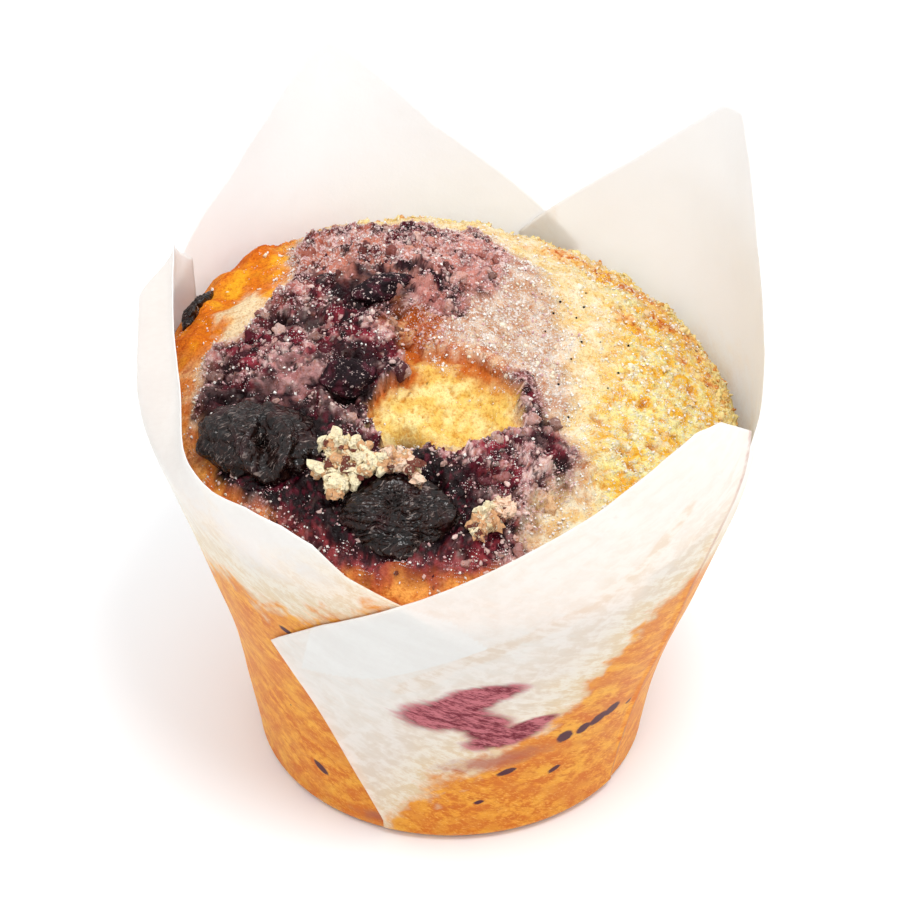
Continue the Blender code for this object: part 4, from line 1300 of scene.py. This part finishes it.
def skin_lift(name, skin, outward, centre, half):
    """How far each point of a berry's skin is lifted by folds, puckers and its eye."""
    eye, wide, spacing, deep, (ring, ring_width, ring_height), eye_depth, eye_reach, _ = SHRIVELS[name]
    eye = unit(np.array(eye))
    across = unit(np.cross((0.0, 0.0, 1.0), eye))
    place = skin + centre
    bend = sway(place, 4.0, 2, 14, 5, 2)
    a = (skin @ across) / wide + 1.1 * bend[:, 0]
    b = skin @ np.cross(eye, across) + 1.1 * bend[:, 1]
    away = np.hypot(a, b / math.sqrt(eye_reach[1] / eye_reach[0]))
    angle = np.arctan2(b, a)
    facing = smooth(-0.3, 0.4, outward @ eye)
    beads = 0.65 + 0.35 * np.sin(angle * 5.0 + 4.0 * bend[:, 0])
    folds = np.abs(np.sin((away + 0.35 * grain(place, 1.6, 21)) / spacing * np.pi)) ** 0.7
    pucker = np.sin(angle * 22.0 + 6.0 * bend[:, 1]) * smooth(0.6, 1.6, away)
    fine = 1.0 - 2.0 * np.abs(grain(place, 0.7, 18)) + 0.6 * grain(place, 0.4, 19)
    crest = np.clip(0.35 + 0.75 * np.cos(angle + 0.9), 0.0, 1.0)
    hollow = np.hypot((a + 0.35 * np.sin(1.3 * b)) / eye_reach[0], b / eye_reach[1])
    lift = deep * (folds - 0.7) * (0.4 + 0.6 * facing) * beads
    lift += ring_height * crest * facing * np.exp(-((away - ring) / ring_width) ** 2)
    lift -= eye_depth * facing * np.exp(-hollow**2)
    lift += (0.08 * pucker + 0.10 * fine) * (0.35 + 0.65 * facing) * min(1.0, half[1] / 5.0)
    return lift + 0.9 * deep * bend[:, 0]


def make_berry(name, skin, crusted):
    """A shrivelled berry whose skin folds run round one spot."""
    centre, half, turn, tilt = BERRIES[name]
    frosted = name in FROSTED
    half = np.array(half) * PRESSED.get(name, 1.0)
    sphere, faces = globe(*SHRIVELS[name][-1])
    lumpy = grain(sphere + centre, 0.85, 4) + 0.4 * grain(sphere + centre, 0.4, 5)
    points = (sphere * half * (SKIN_SHARE[frosted] + 0.20 * lumpy)[:, None]) @ turn_matrix(turn, tilt).T
    points[:, 0] *= np.where(points[:, 0] > 0.0, DRAWN_OUT.get(name, 1.0), 1.0)
    outward = unit(points)
    points = points + outward * skin_lift(name, points, outward, centre, half)[:, None] + centre
    piece = new_piece(name + "_skin", points, faces, crusted if frosted else skin)
    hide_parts(name)
    if frosted:
        rosy = smooth(-0.2, 0.6, rough(points, 1.6, 3, 30))
        put_colour(piece, "tint", mix((26, 10, 18), (84, 34, 48), rosy))


# ---------------------------------------------------------------- streusel flakes
# Outline in the flake's own plane, thickness, and how many grains stick to it.
FLAKES = {
    "crumb_large": (((-6.0, 3.0), (-3.0, 4.6), (-1.6, 3.2), (1.0, 2.6), (4.0, 3.4), (6.4, 1.4), (7.2, -1.2),
                     (5.8, -0.6), (4.2, 0.8), (1.6, 0.2), (-0.6, -1.2), (-2.2, -3.4), (-3.4, -4.4),
                     (-4.6, -2.2), (-6.4, -0.6), (-5.2, 0.8)), 1.0, 190),
    "crumb_small": (((-3.2, -0.6), (-2.0, 1.0), (0.2, 1.6), (2.2, 2.2), (3.4, 0.6), (2.2, -0.6),
                     (0.6, -0.4), (-0.6, -1.6), (-2.4, -1.8)), 0.7, 60),
}
FLAKE_STEP = 0.13
FLAKE_REACH = (8.0, 6.0)
GRAIN_SHAPE = (0.9, 0.6, (1.0, 0.8, 0.55), 7)       # as the last four values of a crumb's shape


def flake_slab(keep, upper, lower):
    """The kept part of a grid as a closed slab: which points are used, all points and faces."""
    cells = keep[:-1, :-1] & keep[1:, :-1] & keep[:-1, 1:] & keep[1:, 1:]
    index = grid_faces(*keep.shape)[cells.ravel()]
    used, quads = np.unique(index, return_inverse=True)
    quads = quads.reshape(index.shape)
    count = len(used)
    edges = dict.fromkeys((a, b) for quad in quads.tolist() for a, b in zip(quad, quad[1:] + quad[:1]))
    rim = [(b, a, a + count, b + count) for a, b in edges if (b, a) not in edges]
    points = np.concatenate([side.reshape(-1, 3)[used] for side in (upper, lower)])
    return used, points, quads.tolist() + (quads[:, ::-1] + count).tolist() + rim


def make_flake(name, material, rng):
    """A flake of pale streusel: cracked lumps in a ragged outline, with grains stuck to it, its cracks and
    underside painted darker as shade.
    """
    outline, thick, grains = FLAKES[name]
    centre, turn, tilt = CRUMBS[name]
    x, y = np.meshgrid(*(np.arange(-reach, reach, FLAKE_STEP) for reach in FLAKE_REACH), indexing="xy")
    p = np.stack((x, y, np.full_like(x, centre[0])), axis=-1)
    depth = depth_inside(x + 0.55 * rough(p, 1.4, 3, 200), y + 0.55 * rough(p, 1.4, 3, 210), outline)
    bent = p + 0.35 * sway(p, 0.9, 2, 260)
    near, second, tone, lean = pebbles(bent, 1.5, 220)
    crack = smooth(0.22, 0.02, second - near)
    _, _, bit_tone, bit_lean = pebbles(bent, 0.6, 270)
    high = thick * (0.45 + 0.55 * smooth(0.0, 0.7, depth))
    high = high * (0.55 + 0.6 * np.clip(0.3 + 0.6 * tone + 1.1 * lean, 0.0, 1.3))
    high = high - 0.3 * thick * crack + 0.22 * (bit_tone - 0.5 + bit_lean) + 0.16 * rough(p, 0.6, 2, 230)
    low = -0.7 * smooth(0.0, 1.0, depth) + 0.2 * rough(p, 1.2, 2, 240) - 0.25
    used, points, faces = flake_slab(depth > 0.0, *(np.stack((x, y, z), axis=-1) for z in (high, low)))
    points = points @ turn_matrix(turn, tilt).T + centre

    spots = rng.choice(len(used), size=grains, replace=False)
    sizes = 0.3 + 0.9 * rng.random(grains) ** 1.6
    solid = ball(2)
    grain_points, grain_faces = many(solid, rng, points[spots], sizes, *GRAIN_SHAPE)
    faces = faces + (grain_faces + len(points)).tolist()
    points = np.concatenate((points, grain_points))
    piece = new_piece(name + "_flake", points, faces, material, True)
    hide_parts(name)

    rosy = smooth(0.0, 0.5, rough(p, 3.0, 2, 250) + 0.12 * x)
    dirt = smooth(0.22, 0.5, rough(p, 1.0, 3, 290) + 0.4 * (0.5 - tone))
    # painted shade: dark brown in the cracks between the lumps
    colour = paint_over((255, 234, 184), ((252, 204, 168), rosy),
                        ((230, 176, 122), smooth(0.2, 0.8, rough(p, 0.7, 2, 280))),
                        ((112, 62, 48), crack * 0.6), ((104, 52, 44), dirt * 0.7)).reshape(-1, 3)[used]
    draw = rng.random(grains)[:, None]
    is_rosy = rosy.ravel()[used][spots][:, None] > 0.5
    grain_colour = np.where(is_rosy, linear((255, 222, 196)), linear((255, 242, 204)))
    grain_colour = np.where(draw < 0.22, linear((120, 66, 54)), grain_colour)
    grain_colour = np.where(draw > 0.74, linear((226, 176, 130)), grain_colour)
    grain_colour = np.repeat(grain_colour, len(solid[0]), axis=0)
    # painted shade: the underside takes the top's colour at six tenths
    put_colour(piece, "tint", np.concatenate((colour, colour * 0.6, grain_colour)))


# ---------------------------------------------------------------- everything
def main():
    make_camera()
    make_stage()
    rng = np.random.default_rng(SEED)
    make_case(paper_material())
    top = Top()
    make_cake(top, crumb_material("baked_top", "dust", "frost", 0.36, "wet", 0.14, (0.20, 0.8), 0.5))
    lump = crumb_material("streusel", srgb(250, 222, 216), 0.36, 0.40, 0.65, 0.16, (0.25, 0.9), 0.5)
    pale_crumb = crumb_material("pale_crumb", srgb(255, 250, 238), 0.36, 0.14, 0.7, 0.16, (0.15, 0.6), 0.0)
    flake = crumb_material("flake", srgb(255, 240, 210), 0.42, 0.16, 0.7, 0.16, (0.2, 0.9), 1.0)
    skin = berry_material()
    make_streusel(top, rng, lump, pale_crumb, sugar_material())
    for name in BERRIES:
        make_berry(name, skin, lump)
    for name in FLAKES:
        make_flake(name, flake, rng)


main()
